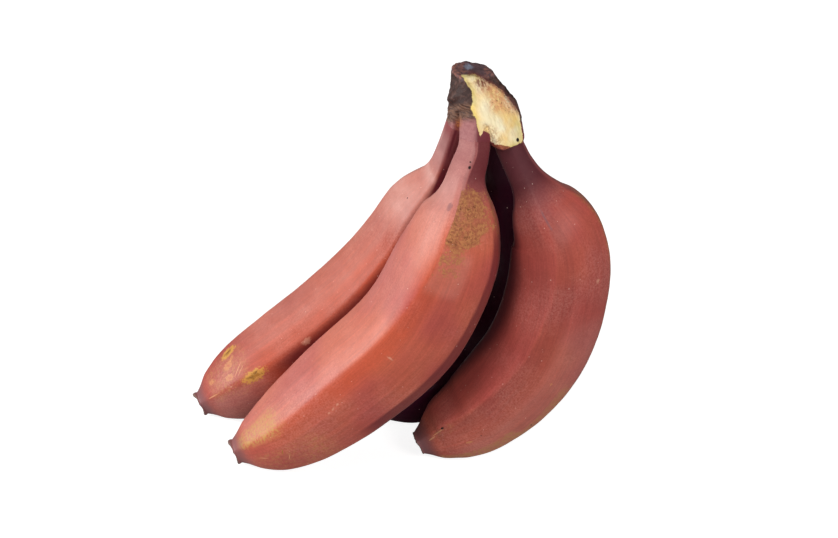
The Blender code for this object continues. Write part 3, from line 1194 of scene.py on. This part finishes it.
@dataclass(frozen=True)
class CrownFinish:
    """The crown: dark bark, a brown wrinkled band over the stems, and the cream cut."""

    bark: Colour = colour(56, 36, 33)
    bark_light: Colour = colour(120, 84, 74)
    band: Colour = colour(120, 87, 70)
    band_dark: Colour = colour(76, 52, 44)
    stem: Colour = colour(168, 112, 112)
    stem_dark: Colour = colour(114, 44, 52)
    web: Colour = colour(176, 106, 58)
    top: Colour = colour(90, 68, 72)
    top_rust: Colour = colour(146, 96, 84)
    top_grey: Colour = colour(126, 128, 144)
    cream: Colour = colour(252, 214, 138)
    cream_light: Colour = colour(255, 244, 206)
    oxide: Colour = colour(220, 150, 106)
    torn: Colour = colour(192, 138, 88)
    pit: Colour = colour(34, 20, 16)
    rust: Colour = colour(104, 46, 36)
    streak: Colour = colour(188, 106, 74)
    green: Colour = colour(222, 198, 104)
    speck: Colour = colour(134, 82, 52)
    cloud_size: float = 3.2
    crumb_size: float = 0.8
    mottle_size: float = 1.6
    level_size: float = 3.0  # of the level wrinkles round the band
    fibre_size: float = 0.9
    cream_size: float = 9.0  # of the patches of each cream

    def build(self, effects: Effects) -> bpy.types.Material:
        """Builds the material from the masks that are painted on the crown.

        Args:
            effects: The shared node groups.

        Returns:
            The material.
        """
        material, graph, shader = new_material("crown_bark_and_cut")
        place = graph.place()
        clouds = graph.noise(place, self.cloud_size * MM, detail=4.0, roughness=0.6)
        crumbs = graph.noise(place, self.crumb_size * MM, detail=3.0, roughness=0.7)
        mottle = graph.noise(place, self.mottle_size * MM, detail=3.0, roughness=0.65,
                             distortion=0.5)
        levels = graph.noise(graph.stretch(place, (1.0, 1.0, 4.5)), self.level_size * MM,
                             detail=3.0, distortion=0.6)

        bark = graph.mix(graph.times(graph.band(clouds, 0.45, 0.8), 0.6),
                         self.bark, self.bark_light)
        bark = graph.mix(graph.times(graph.band(crumbs, 0.55, 0.8), 0.5), bark, self.bark_light)
        band = graph.mix(graph.band(levels, 0.40, 0.60), self.band, self.band_dark)
        bark = graph.mix(graph.mask("band"), bark, band)
        stem = graph.mix(graph.times(graph.band(mottle, 0.35, 0.65), 0.3),
                         self.stem, self.stem_dark)
        # Painted shade on the stems' shaded sides.
        stem = graph.mix(graph.mask("shade"), stem, self.stem_dark)
        bark = graph.mix(graph.mask("stem"), bark, stem)
        web = graph.times(graph.mask("web"), graph.band(crumbs, 0.3, 0.6))
        bark = graph.mix(web, bark, self.web)
        rusty = graph.ragged(graph.mask("rusty"), mottle, 3.2)
        dried = graph.mix(graph.band(rusty, 0.2, 1.3), self.top, self.top_rust)
        grey = graph.ragged(graph.mask("grey"), crumbs, 1.2)
        dried = graph.mix(graph.band(grey, 0.35, 0.8), dried, self.top_grey)
        bark = graph.mix(graph.mask("top"), bark, dried)

        inland = graph.ragged(graph.mask("inland"), mottle, 1.4)
        fibres = graph.noise(graph.stretch(place, (1.0, 1.0, 0.16)), self.fibre_size * MM,
                             detail=3.0)
        patches = graph.band(graph.noise(place, self.cream_size * MM), 0.35, 0.65)
        flesh = graph.mix(patches, self.cream, self.cream_light)
        flesh = graph.mix(graph.times(graph.band(fibres, 0.45, 0.75), 0.22), flesh, self.oxide)
        # Painted highlight on the cut face.
        flesh = graph.mix(graph.mask("pale"), flesh, self.cream_light)
        torn = graph.times(graph.mask("torn"), graph.band(crumbs, 0.44, 0.58))
        flesh = graph.mix(graph.times(torn, 0.6), flesh, self.torn)
        oxide = graph.times(graph.mask("oxide"), graph.band(mottle, 0.30, 0.60))
        flesh = graph.mix(graph.times(oxide, 0.75), flesh, self.oxide)
        streaks = graph.times(graph.mask("streaks"),
                              graph.between(graph.band(fibres, 0.34, 0.66), 0.2, 0.8))
        flesh = graph.mix(streaks, flesh, self.streak)
        green = graph.times(graph.mask("green"), graph.between(clouds, 0.3, 1.0))
        flesh = graph.mix(green, flesh, self.green)
        stain = graph.times(graph.mask("stain"),
                            graph.between(graph.band(fibres, 0.40, 0.60), 0.25, 1.0))
        flesh = graph.mix(stain, flesh, self.rust)
        rust = graph.mask("rust")
        rim = graph.times(graph.times(rust, graph.band(inland, 1.5, 0.2)),
                          graph.between(graph.band(crumbs, 0.35, 0.6), 0.5, 1.0))
        flesh = graph.mix(rim, flesh, self.rust)
        specks = graph.group(effects.specks, {
            "Place": place, "Per Metre": 1100.0, "Share": 0.5, "Size": 0.32}).outputs[0]
        specks = graph.times(specks, graph.plus(graph.times(oxide, 1.1), 0.06))
        flesh = graph.mix(specks, flesh, self.speck)
        flesh = graph.mix(graph.band(graph.mask("pit"), 0.35, 0.6), flesh, self.pit)

        cut = graph.band(inland, -0.2, 0.2)
        lip = graph.times(graph.band(inland, -1.4, -0.2), graph.times(rust, 0.45))
        skin = graph.mix(cut, graph.mix(lip, bark, self.rust), flesh)
        relief = graph.layered((clouds, 0.25), (crumbs, 0.12))
        grain = graph.layered((fibres, 0.12), (crumbs, 0.06), (torn, -0.15))
        graph.finish(shader, skin, graph.between(cut, 0.62, 0.45),
                     graph.between(cut, relief, grain))
        shader.inputs["Specular IOR Level"].default_value = 0.35
        return material


@dataclass
class Crown:
    """The woody end that the four stems grow from, cut in front and on top."""

    finish: CrownFinish
    name: str = "banana_crown"
    node: str = "crown"
    voxel: float = 0.4
    dome: float = 0.9  # how far the cut face swells in its middle
    wrinkle: float = 0.55

    def column_rings(self, table: tuple[tuple, ...]) -> list[list[Vector]]:
        """The rings of a column, closer together than the rows of its table.

        Args:
            table: The column's rows, from below upwards.

        Returns:
            The rings, each a list of points.
        """
        heights = [row[0] for row in table]
        rows = [Vector((drop, x, y, half_x)) for _, drop, (x, y), (half_x, _) in table]
        depths = [half_y for *_, (_, half_y) in table]
        rings = []
        for i in range(COLUMN_STEPS + 1):
            height = heights[0] + (heights[-1] - heights[0]) * i / COLUMN_STEPS
            drop, x, y, half_x = spline(heights, rows, height)
            half_y = spline(heights, depths, height)
            ring = []
            for k in range(COLLAR_SIDES):
                angle = 2 * pi * k / COLLAR_SIDES
                lobes = 1 + LOBE_HEIGHT * cos(LOBES * angle + height / LOBE_TURN)
                right = half_x * lobes * cos(angle)
                back = half_y * lobes * sin(angle)
                ring.append(Vector((x + right, y + back, height - drop * right)) * MM)
            rings.append(ring)
        return rings

    def collar_rings(self, finger: Finger) -> list[list[Vector]]:
        """The rings of the part of a stem that belongs to the crown.

        Args:
            finger: The banana whose stem it is.

        Returns:
            The rings, each a list of points.
        """
        stem = next(s for s in finger.stations if s.distance >= finger.overlap * MM)
        length = (COLLAR_LENGTH + finger.overlap) * MM
        rings = []
        for share, width in COLLAR:
            centre = stem.centre - stem.along * length * share
            ring = []
            for k in range(COLLAR_SIDES):
                angle = 360 * k / COLLAR_SIDES
                reach = stem.reach * width * (1 + stem.relief(angle))
                ring.append(centre + stem.out(angle) * reach)
            rings.append(ring)
        return rings

    def loft(self, rings: list[list[Vector]]) -> bmesh.types.BMesh:
        """A closed body through rings of points, each extruded from the one before it.

        Args:
            rings: The rings, with as many points each.

        Returns:
            The body.
        """
        bm = bmesh.new()
        bmesh.ops.create_circle(bm, segments=len(rings[0]), radius=1.0)
        ring = list(bm.verts)
        bmesh.ops.contextual_create(bm, geom=bm.edges[:])
        edges = list(bm.edges)
        for points in rings:
            if points is not rings[0]:
                made = bmesh.ops.extrude_edge_only(bm, edges=edges)["geom"]
                edges = [e for e in made if isinstance(e, bmesh.types.BMEdge) and e.is_boundary]
                fresh = {v for v in made if isinstance(v, bmesh.types.BMVert)}
                ring = [
                    next(e.other_vert(v) for e in v.link_edges if e.other_vert(v) in fresh)
                    for v in ring
                ]
            for vert, point in zip(ring, points):
                vert.co = point
        bmesh.ops.contextual_create(bm, geom=edges)
        bmesh.ops.recalc_face_normals(bm, faces=bm.faces)
        return bm

    def cut(self, bm: bmesh.types.BMesh, point: Point, facing: Point) -> None:
        """Cuts away what lies beyond a plane, and closes the body there.

        Args:
            bm: The body.
            point: A point of the plane, in millimetres.
            facing: The way that the plane faces.
        """
        geom = [*bm.verts, *bm.edges, *bm.faces]
        made = bmesh.ops.bisect_plane(bm, geom=geom, plane_co=Vector(point) * MM,
                                      plane_no=Vector(facing).normalized(), clear_outer=True)
        edges = [e for e in made["geom_cut"] if isinstance(e, bmesh.types.BMEdge)]
        if edges:
            bmesh.ops.contextual_create(bm, geom=edges)

    def grown_together(self, fingers: list[Finger]) -> bpy.types.Mesh:
        """The column and the collars, cut, and remeshed as one fine closed surface.

        Args:
            fingers: The bananas that grow from the crown.

        Returns:
            The mesh, without relief.
        """
        bodies = [self.column_rings(table) for table in (COLUMN, SHELF)]
        bodies += [self.collar_rings(finger) for finger in fingers]
        flanks = [(from_view(*at), from_view(*facing)) for at, facing in FLANKS]
        joined = bmesh.new()
        for rings in bodies:
            bm = self.loft(rings)
            for point, facing in (*FRONT_CUTS, TOP_CUT, *flanks):
                self.cut(bm, point, facing)
            part = bpy.data.meshes.new("crown_part")
            bm.to_mesh(part)
            bm.free()
            joined.from_mesh(part)
            bpy.data.meshes.remove(part)
        rough = bpy.data.meshes.new("crown_rough")
        joined.to_mesh(rough)
        joined.free()
        helper = bpy.data.objects.new("crown_rough", rough)
        bpy.context.scene.collection.objects.link(helper)
        remesh = helper.modifiers.new("one_skin", "REMESH")
        remesh.mode = "VOXEL"
        remesh.voxel_size = self.voxel * MM
        graph = bpy.context.evaluated_depsgraph_get()
        fine = bpy.data.meshes.new_from_object(helper.evaluated_get(graph))
        bpy.data.objects.remove(helper)
        bpy.data.meshes.remove(rough)
        return fine

    def cut_depth(self, point: Vector, normal: Vector) -> float:
        """How far inside the cut face's outline a point of the skin lies.

        Args:
            point: The point, in millimetres.
            normal: The skin's direction there.

        Returns:
            The distance to the outline in millimetres, below 0 outside it.
        """
        tilt = radians(VIEW_TILT)
        right, up = point.x, point.z * cos(tilt) + point.y * sin(tilt)
        nearest, inside = 1e9, False
        for (x1, y1), (x2, y2) in zip(CUT_OUTLINE, (*CUT_OUTLINE[1:], CUT_OUTLINE[0])):
            run, rise = x2 - x1, y2 - y1
            t = ((right - x1) * run + (up - y1) * rise) / (run * run + rise * rise)
            t = max(0.0, min(1.0, t))
            nearest = min(nearest, hypot(right - x1 - t * run, up - y1 - t * rise))
            if (y1 > up) != (y2 > up) and right < x1 + (up - y1) / rise * run:
                inside = not inside
        shown = normal.z * sin(tilt) - normal.y * cos(tilt)
        ahead = max((point - Vector(at)).dot(Vector(way).normalized()) for at, way in FRONT_CUTS)
        if not inside:
            return -nearest
        return min(nearest, EDGE_FADE * (shown - EDGE_ON), REACH_FADE * (ahead + CUT_REACH))

    def cut_swell(self, place: Vector, inland: float) -> float:
        """How far the cut face swells out at a place, in millimetres.

        Args:
            place: The place, in millimetres.
            inland: How far inside the cut's outline it is.

        Returns:
            The swell, 0 on the bark.
        """
        grain = 0.10 * noise.noise(Vector((place.x, place.y, place.z * 0.3)) * 0.9)
        dome = self.dome * smooth_step(0.0, DOME_REACH, inland)
        return (dome + grain) * smooth_step(*CUT_FADE, inland)

    def bark_relief(self, place: Vector, up: float, band: float) -> float:
        """How far the bark stands out at a place, with folds where the band is.

        Args:
            place: The place, in millimetres.
            up: In the view of the cut's outline.
            band: How much of the wrinkled band is there.

        Returns:
            The relief, in millimetres.
        """
        rough = self.wrinkle * (noise.noise(place * 0.32) + 0.5 * noise.noise(place * 0.8))
        folds = FOLD_HEIGHT * band * sin(place.z * 4.2 + 2.6 * noise.noise(place * 0.3))
        flank = smooth_step(*LEFT_FLANK, place.x)
        node = flank * exp(-(((up - NODE_UP) / NODE_HALF) ** 2))
        waist = flank * exp(-(((up - WAIST_UP) / WAIST_HALF) ** 2))
        return rough + folds + BARK_LIFT + node - waist

    def mesh(self, fingers: list[Finger]) -> bpy.types.Mesh:
        """The crown's mesh, with its relief and its painted masks.

        Args:
            fingers: The bananas that grow from the crown.

        Returns:
            The mesh.
        """
        fine = self.grown_together(fingers)
        bm = bmesh.new()
        bm.from_mesh(fine)
        for _ in range(SMOOTHINGS):
            bmesh.ops.smooth_vert(bm, verts=bm.verts, factor=0.5, use_axis_x=True,
                                  use_axis_y=True, use_axis_z=True)
        bm.normal_update()
        tilt = radians(VIEW_TILT)
        top_at, top_way = Vector(TOP_CUT[0]), Vector(TOP_CUT[1]).normalized()
        facing = sum((Vector(n).normalized() for _, n in FRONT_CUTS), Vector()).normalized()
        layers = {name: bm.verts.layers.float.new(name)
                  for name in (*AREAS, "inland", "top", "grey")}
        grey_x, grey_y, half_x, half_y = GREY_SPOT
        moves = []
        for vert in bm.verts:
            place = vert.co / MM
            x, y, z = place
            up = z * cos(tilt) + y * sin(tilt)
            inland = self.cut_depth(place, vert.normal)
            painted = {name: max(area.weight(x, up, inland) for area in areas)
                       for name, areas in AREAS.items()}
            for name, weight in painted.items():
                vert[layers[name]] = weight
            vert[layers["inland"]] = max(-3.0, inland)
            on_top = smooth_step(*TOP_FADE, (place - top_at).dot(top_way))
            vert[layers["top"]] = on_top
            vert[layers["grey"]] = on_top * exp(
                -(((x - grey_x) / half_x) ** 2 + ((y - grey_y) / half_y) ** 2))
            move = facing * self.cut_swell(place, inland)
            bark = smooth_step(*BARK_FADE, inland) * (1 - STEM_CALM * painted["stem"])
            move += vert.normal * self.bark_relief(place, up, painted["band"]) * bark
            moves.append(move * MM)
        for vert, move in zip(bm.verts, moves):
            vert.co += move
        bm.to_mesh(fine)
        bm.free()
        fine.name = self.name
        fine.shade_smooth()
        return fine

    def build(self, effects: Effects, fingers: list[Finger]) -> bpy.types.Object:
        """Makes the crown and stands it in for its CAD node.

        Args:
            effects: The shared node groups.
            fingers: The bananas that grow from it.

        Returns:
            The object.
        """
        crown = bpy.data.objects.new(self.name, self.mesh(fingers))
        bpy.context.scene.collection.objects.link(crown)
        crown.data.materials.clear()
        crown.data.materials.append(self.finish.build(effects))
        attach(crown, "root")
        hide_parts(self.node)
        return crown


# ---- the studio -----------------------------------------------------------------------

@dataclass
class Studio:
    """A pale floor, soft light from the left and the front, and the camera."""

    floor_size: float = 6.0
    floor_colour: Colour = colour(255, 255, 255)
    bounce_colour: Colour = colour(170, 168, 168)
    floor_glow: float = 0.88  # how much of the floor's white doesn't depend on the light
    sky: float = 0.08
    elevation: float = 30.0  # of the camera, in degrees
    distance: float = 0.8
    lens: float = 85.9
    aim_from_middle: Point = (10.5, -6.9, -3.1)
    light_distance: float = 1.2
    light_size: float = 0.55

    def middle(self) -> Vector:
        """The middle of the CAD box."""
        return (CAD_BOX[0] + CAD_BOX[1]) / 2

    def floor(self) -> None:
        """A plain floor, which throws less light back at the fruit than it shows."""
        bm = bmesh.new()
        bmesh.ops.create_grid(bm, x_segments=1, y_segments=1, size=self.floor_size / 2)
        mesh = bpy.data.meshes.new("floor")
        bm.to_mesh(mesh)
        bm.free()
        floor = bpy.data.objects.new("floor", mesh)
        bpy.context.scene.collection.objects.link(floor)
        material, graph, shader = new_material("pale_floor")
        seen = graph.node("ShaderNodeLightPath").outputs["Is Camera Ray"]
        shader.inputs["Base Color"].default_value = self.bounce_colour
        shader.inputs["Emission Color"].default_value = self.floor_colour
        glow = graph.times(seen, self.floor_glow)
        graph.tree.links.new(glow, shader.inputs["Emission Strength"])
        shader.inputs["Roughness"].default_value = 0.9
        shader.inputs["Specular IOR Level"].default_value = 0.1
        mesh.materials.append(material)

    def light(self, name: str, turn: float, height: float, power: float,
              tone: Colour) -> None:
        """A round soft light that points at the middle of the bunch.

        Args:
            name: Its name.
            turn: Degrees from the camera's side, counted towards the right.
            height: Degrees above the floor.
            power: In watts.
            tone: Its colour.
        """
        data = bpy.data.lights.new(name, "AREA")
        data.shape = "DISK"
        data.size = self.light_size
        data.energy = power
        data.color = tone[:3]
        a, e = radians(turn), radians(height)
        offset = Vector((sin(a) * cos(e), -cos(a) * cos(e), sin(e))) * self.light_distance
        lamp = bpy.data.objects.new(name, data)
        lamp.location = self.middle() + offset
        lamp.rotation_euler = (-offset).to_track_quat("-Z", "Y").to_euler()
        bpy.context.scene.collection.objects.link(lamp)

    def lights(self) -> None:
        """Four soft lights round the front, and a faint even sky."""
        self.light("left_light", -88.0, 16.0, 10.5, (1.0, 0.99, 0.98, 1.0))
        self.light("key_light", -45.0, 50.0, 6.0, (1.0, 0.985, 0.965, 1.0))
        self.light("right_light", 40.0, 30.0, 6.4, (1.0, 0.99, 0.98, 1.0))
        self.light("front_light", -4.0, 12.0, 2.5, (1.0, 0.99, 0.98, 1.0))
        world = bpy.data.worlds.new("pale_sky")
        world.use_nodes = True
        background = world.node_tree.nodes["Background"]
        background.inputs["Color"].default_value = (1.0, 1.0, 1.0, 1.0)
        background.inputs["Strength"].default_value = self.sky
        bpy.context.scene.world = world

    def camera(self) -> None:
        """Looks down on the front of the bunch."""
        data = bpy.data.cameras.new("camera")
        data.lens = self.lens
        camera = bpy.data.objects.new("camera", data)
        tilt = radians(self.elevation)
        back = Vector((0.0, -cos(tilt), sin(tilt))) * self.distance
        camera.location = self.middle() + Vector(self.aim_from_middle) * MM + back
        camera.rotation_euler = (pi / 2 - tilt, 0.0, 0.0)
        bpy.context.scene.collection.objects.link(camera)
        bpy.context.scene.camera = camera

    def build(self) -> None:
        """Sets up all of the studio."""
        self.camera()
        self.floor()
        self.lights()
        bpy.context.scene.view_settings.view_transform = "Standard"


# ---- the bunch ------------------------------------------------------------------------

def front_left() -> Finger:
    """The long banana in front, with the brown scab on its shoulder.

    Returns:
        The banana.
    """
    crest = (4, 36, 32)
    return Finger(
        name="banana_front_left",
        node="finger_front_left",
        line=(
            (31.5, -13, 146), (31, -15, 139), (28, -21, 130), (26.3, -25, 118),
            (21.6, -27, 97.2), (7.2, -27, 66), (-18, -26, 38.7), (-43, -25, 16.8),
            (-64.5, -26, 6),
        ),
        girth=1.0,
        neck=1.0,
        overlap=3.6,
        ridges=((-120, -120, -120), (-56, -52, -40), crest, (104, 110, 104),
                (172, 175, 172)),
        finish=PeelFinish(),
        horns=(Horn(92, 1.4, 32, 0.4), Horn(-62, 1.6, 52, 0.12)),
        patches=(
            Patch(Tint.SCAB, (0.155, 0.20), (-36, -3), (0.05, 0.03), (26, 3), follow=crest),
            Patch(Tint.SCAB, (0.125, 0.19), (-80, -44), (0.02, 0.03), (12, 20), 0.36),
            Patch(Tint.SCAB, (0.205, 0.27), (-24, -4), (0.02, 0.06), (18, 4), 0.44, follow=crest),
            Patch(Tint.FROST_AND_PAINTED_LIGHT, (0.25, 0.31), (-34, -6), (0.03, 0.03), (14, 6), 0.16, follow=crest),
            Patch(Tint.OLIVE, (0.885, 0.975), (34, 58), (0.10, 0.02), (18, 28), 0.85),
            Patch(Tint.OLIVE, (0.80, 0.95), (-60, 0), (0.08, 0.04), (20, 20), 0.42),
            # Painted shade: the neck's right side and the lower right facet beyond the ridge,
            # turned from the lights.
            Patch(Tint.WINE_AND_PAINTED_SHADE, (0.0, 0.09), (-100, 0), (0.01, 0.07), (20, 3), 0.8,
                  follow=(-11, 36, 32)),
            Patch(Tint.WINE_AND_PAINTED_SHADE, (0.22, 0.66), (-80, 0), (0.06, 0.08), (20, 3), 0.75,
                  follow=(-58, -39, -30)),
            # Painted light: the lit upper left side made paler.
            Patch(Tint.FROST_AND_PAINTED_LIGHT, (0.30, 0.95), (46, 120), (0.10, 0.04), (14, 30), 0.20),
            Patch(Tint.EMBER_AND_PAINTED_LIGHT, (0.28, 0.84), (-10, -1), (0.08, 0.1), (18, 2), 0.85, follow=crest),
            # Painted shade on the lower right facet.
            Patch(Tint.PLUM_AND_PAINTED_SHADE, (0.34, 0.88), (-70, -34), (0.08, 0.06), (20, 14), 0.18, follow=crest),
            Patch(Tint.FROST_AND_PAINTED_LIGHT, (0.0, 0.13), (8, 120), (0.01, 0.08), (6, 30), 0.26),
            Patch(Tint.FROST_AND_PAINTED_LIGHT, (0.13, 0.20), (30, 100), (0.04, 0.10), (10, 30), 0.30),
        ),
        spots=(
            Spot(Blemish.PIT, 0.089, 8, 1.6, 1.2),
            Spot(Blemish.PIT, 0.080, 12, 0.8, 0.8),
            Spot(Blemish.GREY, 0.156, 28, 3.5, 2.4),
            Spot(Blemish.PALE, 0.517, 16, 1.1, 3.6, 0),
            Spot(Blemish.PALE, 0.685, 15, 1.8, 1.0, 10),
            Spot(Blemish.PALE, 0.700, 14, 2.2, 0.9, 15),
            Spot(Blemish.PALE, 0.716, 13, 1.6, 1.0, 0),
            Spot(Blemish.CRACK, 0.883, 0, 2.6, 0.5, 60),
            Spot(Blemish.SCRATCH, 0.878, -14, 3.2, 0.5, 50),
            Spot(Blemish.SCRATCH, 0.935, -5, 4.5, 0.5, -10),
        ),
    )


def back_left() -> Finger:
    """The long banana behind it, with yellow cracked spots near its blossom end.

    Returns:
        The banana.
    """
    return Finger(
        name="banana_back_left",
        node="finger_back_left",
        line=(
            (26.5, 0, 143), (24.0, 3, 132), (20.4, 9, 115), (14.8, 15, 96.8), (6.6, 18, 76.4),
            (-12, 19, 52), (-37, 16, 31), (-63, 12, 15.9), (-82, 10, 5.6),
        ),
        girth=1.0,
        neck=1.13,
        ridges=((-110, -110, -110), (-42, -40, -44), (38, 32, 28), (106, 104, 100),
                (176, 178, 176)),
        finish=PeelFinish(red=colour(167, 71, 55), orange=colour(189, 88, 61)),
        horns=(Horn(95, 1.5, 34, 0.3), Horn(-70, 1.4, 50, 0.1)),
        patches=(
            Patch(Tint.OLIVE, (0.86, 0.95), (20, 80), (0.04, 0.02), (20, 20), 0.42),
            # Painted shade: the neck and the lower side along the crease, where the front banana
            # shades them.
            Patch(Tint.WINE_AND_PAINTED_SHADE, (0.0, 0.14), (-60, 20), (0.01, 0.05), (20, 12), 0.75),
            Patch(Tint.WINE_AND_PAINTED_SHADE, (0.0, 0.05), (20, 70), (0.01, 0.04), (6, 20), 0.3),
            Patch(Tint.WINE_AND_PAINTED_SHADE, (0.14, 0.5), (-70, 24), (0.05, 0.02), (20, 10), 0.7),
            Patch(Tint.WINE_AND_PAINTED_SHADE, (0.52, 0.73), (-70, 20), (0.02, 0.10), (20, 18), 0.85),
            Patch(Tint.FROST_AND_PAINTED_LIGHT, (0.05, 0.14), (40, 130), (0.04, 0.04), (12, 30), 0.48),
            # Painted light: the lit upper side made paler.
            Patch(Tint.FROST_AND_PAINTED_LIGHT, (0.24, 0.80), (62, 120), (0.08, 0.10), (20, 30), 0.26),
            Patch(Tint.PLUM_AND_PAINTED_SHADE, (0.9, 1.0), (-180, 180), (0.1, 0.02), (1, 1), 0.5),
            # Painted light: the underside near the tip made paler.
            Patch(Tint.FROST_AND_PAINTED_LIGHT, (0.84, 0.95), (-40, 16), (0.05, 0.03), (20, 12), 0.2),
            Patch(Tint.EMBER_AND_PAINTED_LIGHT, (0.4, 0.9), (16, 70), (0.16, 0.06), (20, 20), 0.7),
            Patch(Tint.FROST_AND_PAINTED_LIGHT, (0.15, 0.24), (30, 120), (0.02, 0.10), (14, 30), 0.42),
        ),
        spots=(
            Spot(Blemish.OCHRE, 0.880, 84, 9.5, 4.4, 10),
            Spot(Blemish.CRACK, 0.880, 85, 6.0, 1.5, 8),
            Spot(Blemish.OCHRE, 0.845, 27, 13.0, 5.2, 0),
            Spot(Blemish.CRACK, 0.853, 27, 4.4, 1.0, -14),
            Spot(Blemish.CRACK, 0.838, 29, 3.6, 1.1, 26),
            Spot(Blemish.SMUDGE, 0.892, 62, 5.0, 3.8, 20),
            Spot(Blemish.SMUDGE, 0.896, 42, 4.6, 3.2, -10),
            Spot(Blemish.SMUDGE, 0.876, 70, 3.0, 1.6, 50),
            Spot(Blemish.SMUDGE, 0.944, 58, 3.0, 2.4),
            Spot(Blemish.SCRATCH, 0.872, 46, 7.0, 0.5, 40),
            Spot(Blemish.SCRATCH, 0.868, 42, 6.0, 0.4, 38),
            Spot(Blemish.SCRATCH, 0.958, 29, 7.0, 0.6, 0),
            Spot(Blemish.PALE, 0.689, 28, 5.0, 3.0, 10),
            Spot(Blemish.PIT, 0.222, 60, 0.8, 0.6),
        ),
    )


def front_right() -> Finger:
    """The short fat banana on the right, with golden brown along one ridge.

    Returns:
        The banana.
    """
    crest = (-12, 17, 40)
    return Finger(
        name="banana_front_right",
        node="finger_front_right",
        line=(
            (43.8, -10.8, 140), (45.3, -11.6, 136.5), (48.8, -13, 129.5), (55.9, -17, 118.5),
            (63.7, -19, 103.5), (64, -19, 78), (55.3, -18, 48), (36, -17, 21.6),
            (20, -18.5, 10.7), (9.8, -21, 6.4),
        ),
        girth=0.94,
        neck=1.0,
        stem_ridge=0.03,
        ridges=((-140, -132, -110), (-74, -68, -44), crest, (66, 84, 114),
                (136, 152, 188)),
        finish=PeelFinish(red=colour(170, 74, 66), orange=colour(182, 86, 68),
                          ember_and_painted_light=colour(184, 83, 76), plum_and_painted_shade=colour(140, 60, 52),
                          wine_and_painted_shade=colour(64, 14, 28)),
        horns=(Horn(60, 0.6, 44, 0.1), Horn(-40, 0.2, 40, 0.0)),
        patches=(
            Patch(Tint.GOLD, (0.20, 0.56), (-96, -72), (0.05, 0.08), (10, 8), 0.6),
            Patch(Tint.GOLD, (0.64, 0.78), (-72, -48), (0.06, 0.02), (10, 8), 0.8),
            Patch(Tint.GOLD, (0.78, 0.96), (-60, -36), (0.02, 0.02), (14, 12), 0.9),
            # Painted shade: a dark strip right of the crest, and the left side of the neck.
            Patch(Tint.PLUM_AND_PAINTED_SHADE, (0.06, 0.92), (-8, -1), (0.04, 0.05), (30, 2), 0.5, follow=crest),
            Patch(Tint.PLUM_AND_PAINTED_SHADE, (0.08, 0.30), (1, 90), (0.05, 0.15), (2, 20), 0.4, follow=crest),
            # Painted light: the left facet, lit from the left, made a brighter red up to the
            # crest.
            Patch(Tint.EMBER_AND_PAINTED_LIGHT, (0.30, 0.90), (2, 40), (0.15, 0.05), (2, 20), 0.75, follow=crest),
            # Painted shade: the stem, shaded by the front left banana, and the left flank facing
            # the gap.
            Patch(Tint.WINE_AND_PAINTED_SHADE, (0.0, 0.10), (-60, 100), (0.01, 0.08), (20, 20), 0.8),
            Patch(Tint.WINE_AND_PAINTED_SHADE, (0.10, 0.94), (78, 140), (0.05, 0.03), (26, 30), 0.85,
                  follow=(0, 0, 48)),
            # The very end is its own dark colour.
            Patch(Tint.WINE_AND_PAINTED_SHADE, (0.995, 1.0), (-180, 180), (0.045, 0.01), (1, 1), 0.5),
            Patch(Tint.FROST_AND_PAINTED_LIGHT, (0.5, 0.85), (-60, -20), (0.1, 0.1), (20, 20), 0.15),
            Patch(Tint.OLIVE, (0.89, 0.965), (22, 34), (0.02, 0.01), (8, 10), 0.3),
        ),
        spots=(
            Spot(Blemish.PIT, 0.917, 35, 1.6, 1.2),
            Spot(Blemish.PIT, 0.733, -48, 0.9, 0.8),
            Spot(Blemish.PIT, 0.833, -6, 0.7, 0.6),
            Spot(Blemish.GREY, 0.185, -4, 12.0, 1.0, 0),
            Spot(Blemish.PALE, 0.344, -48, 2.2, 2.2),
            Spot(Blemish.SMUDGE, 0.872, -8, 2.6, 1.6),
            Spot(Blemish.SCRATCH, 0.935, 33, 7.0, 0.7, 4),
            Spot(Blemish.SCRATCH, 0.965, 28, 4.0, 0.7, 14),
            Spot(Blemish.SMUDGE, 0.606, -24, 1.6, 1.0),
        ),
    )


def back_right() -> Finger:
    """The banana behind it, hidden but for a strip darkened by painted shade, and its underside.

    Returns:
        The banana.
    """
    return Finger(
        name="banana_back_right",
        node="finger_back_right",
        line=(
            (39.5, 3.5, 136), (40, 11, 122), (45.4, 23, 103), (52.8, 29, 82), (55.5, 30, 59),
            (47, 28, 36), (30, 20.9, 19.8), (8, 9, 14.8), (-12, 2.5, 10.5),
        ),
        girth=0.92,
        neck=1.15,
        ridges=((-124, -124, -124), (-52, -52, -52), (20, 20, 20), (92, 92, 92),
                (164, 164, 164)),
        finish=PeelFinish(red=colour(176, 78, 72), orange=colour(192, 92, 74),
                          wine_and_painted_shade=colour(54, 8, 30), gloss=0.12),
        horns=(Horn(80, 1.4, 22, 0.4), Horn(-100, 1.2, 30, 0.2)),
        patches=(
            Patch(Tint.GOLD, (0.30, 0.85), (160, 172), (0.05, 0.05), (8, 5), 0.8),
            # Painted shade: nearly black over the side that faces the gap between the front
            # bananas.
            Patch(Tint.WINE_AND_PAINTED_SHADE, (0.0, 1.0), (-66, 80), (0.01, 0.01), (50, 40), 1.0),
        ),
        spots=(
            Spot(Blemish.PALE, 0.45, 170, 4.0, 2.0, 30),
            Spot(Blemish.OCHRE, 0.62, 200, 6.0, 2.4, 10),
            Spot(Blemish.PIT, 0.30, 150, 1.0, 0.8),
        ),
    )


def main() -> None:
    """Builds the studio and the bunch."""
    logging.basicConfig(level=logging.INFO, format="%(name)s: %(message)s")
    Studio().build()
    effects = Effects()
    fingers = [front_left(), back_left(), front_right(), back_right()]
    pieces = [finger.build(effects) for finger in fingers]
    pieces.append(Crown(CrownFinish()).build(effects, fingers))
    for piece in pieces:
        logger.info("%s: %d faces", piece.name, len(piece.data.polygons))


if __name__ == "__main__":
    main()
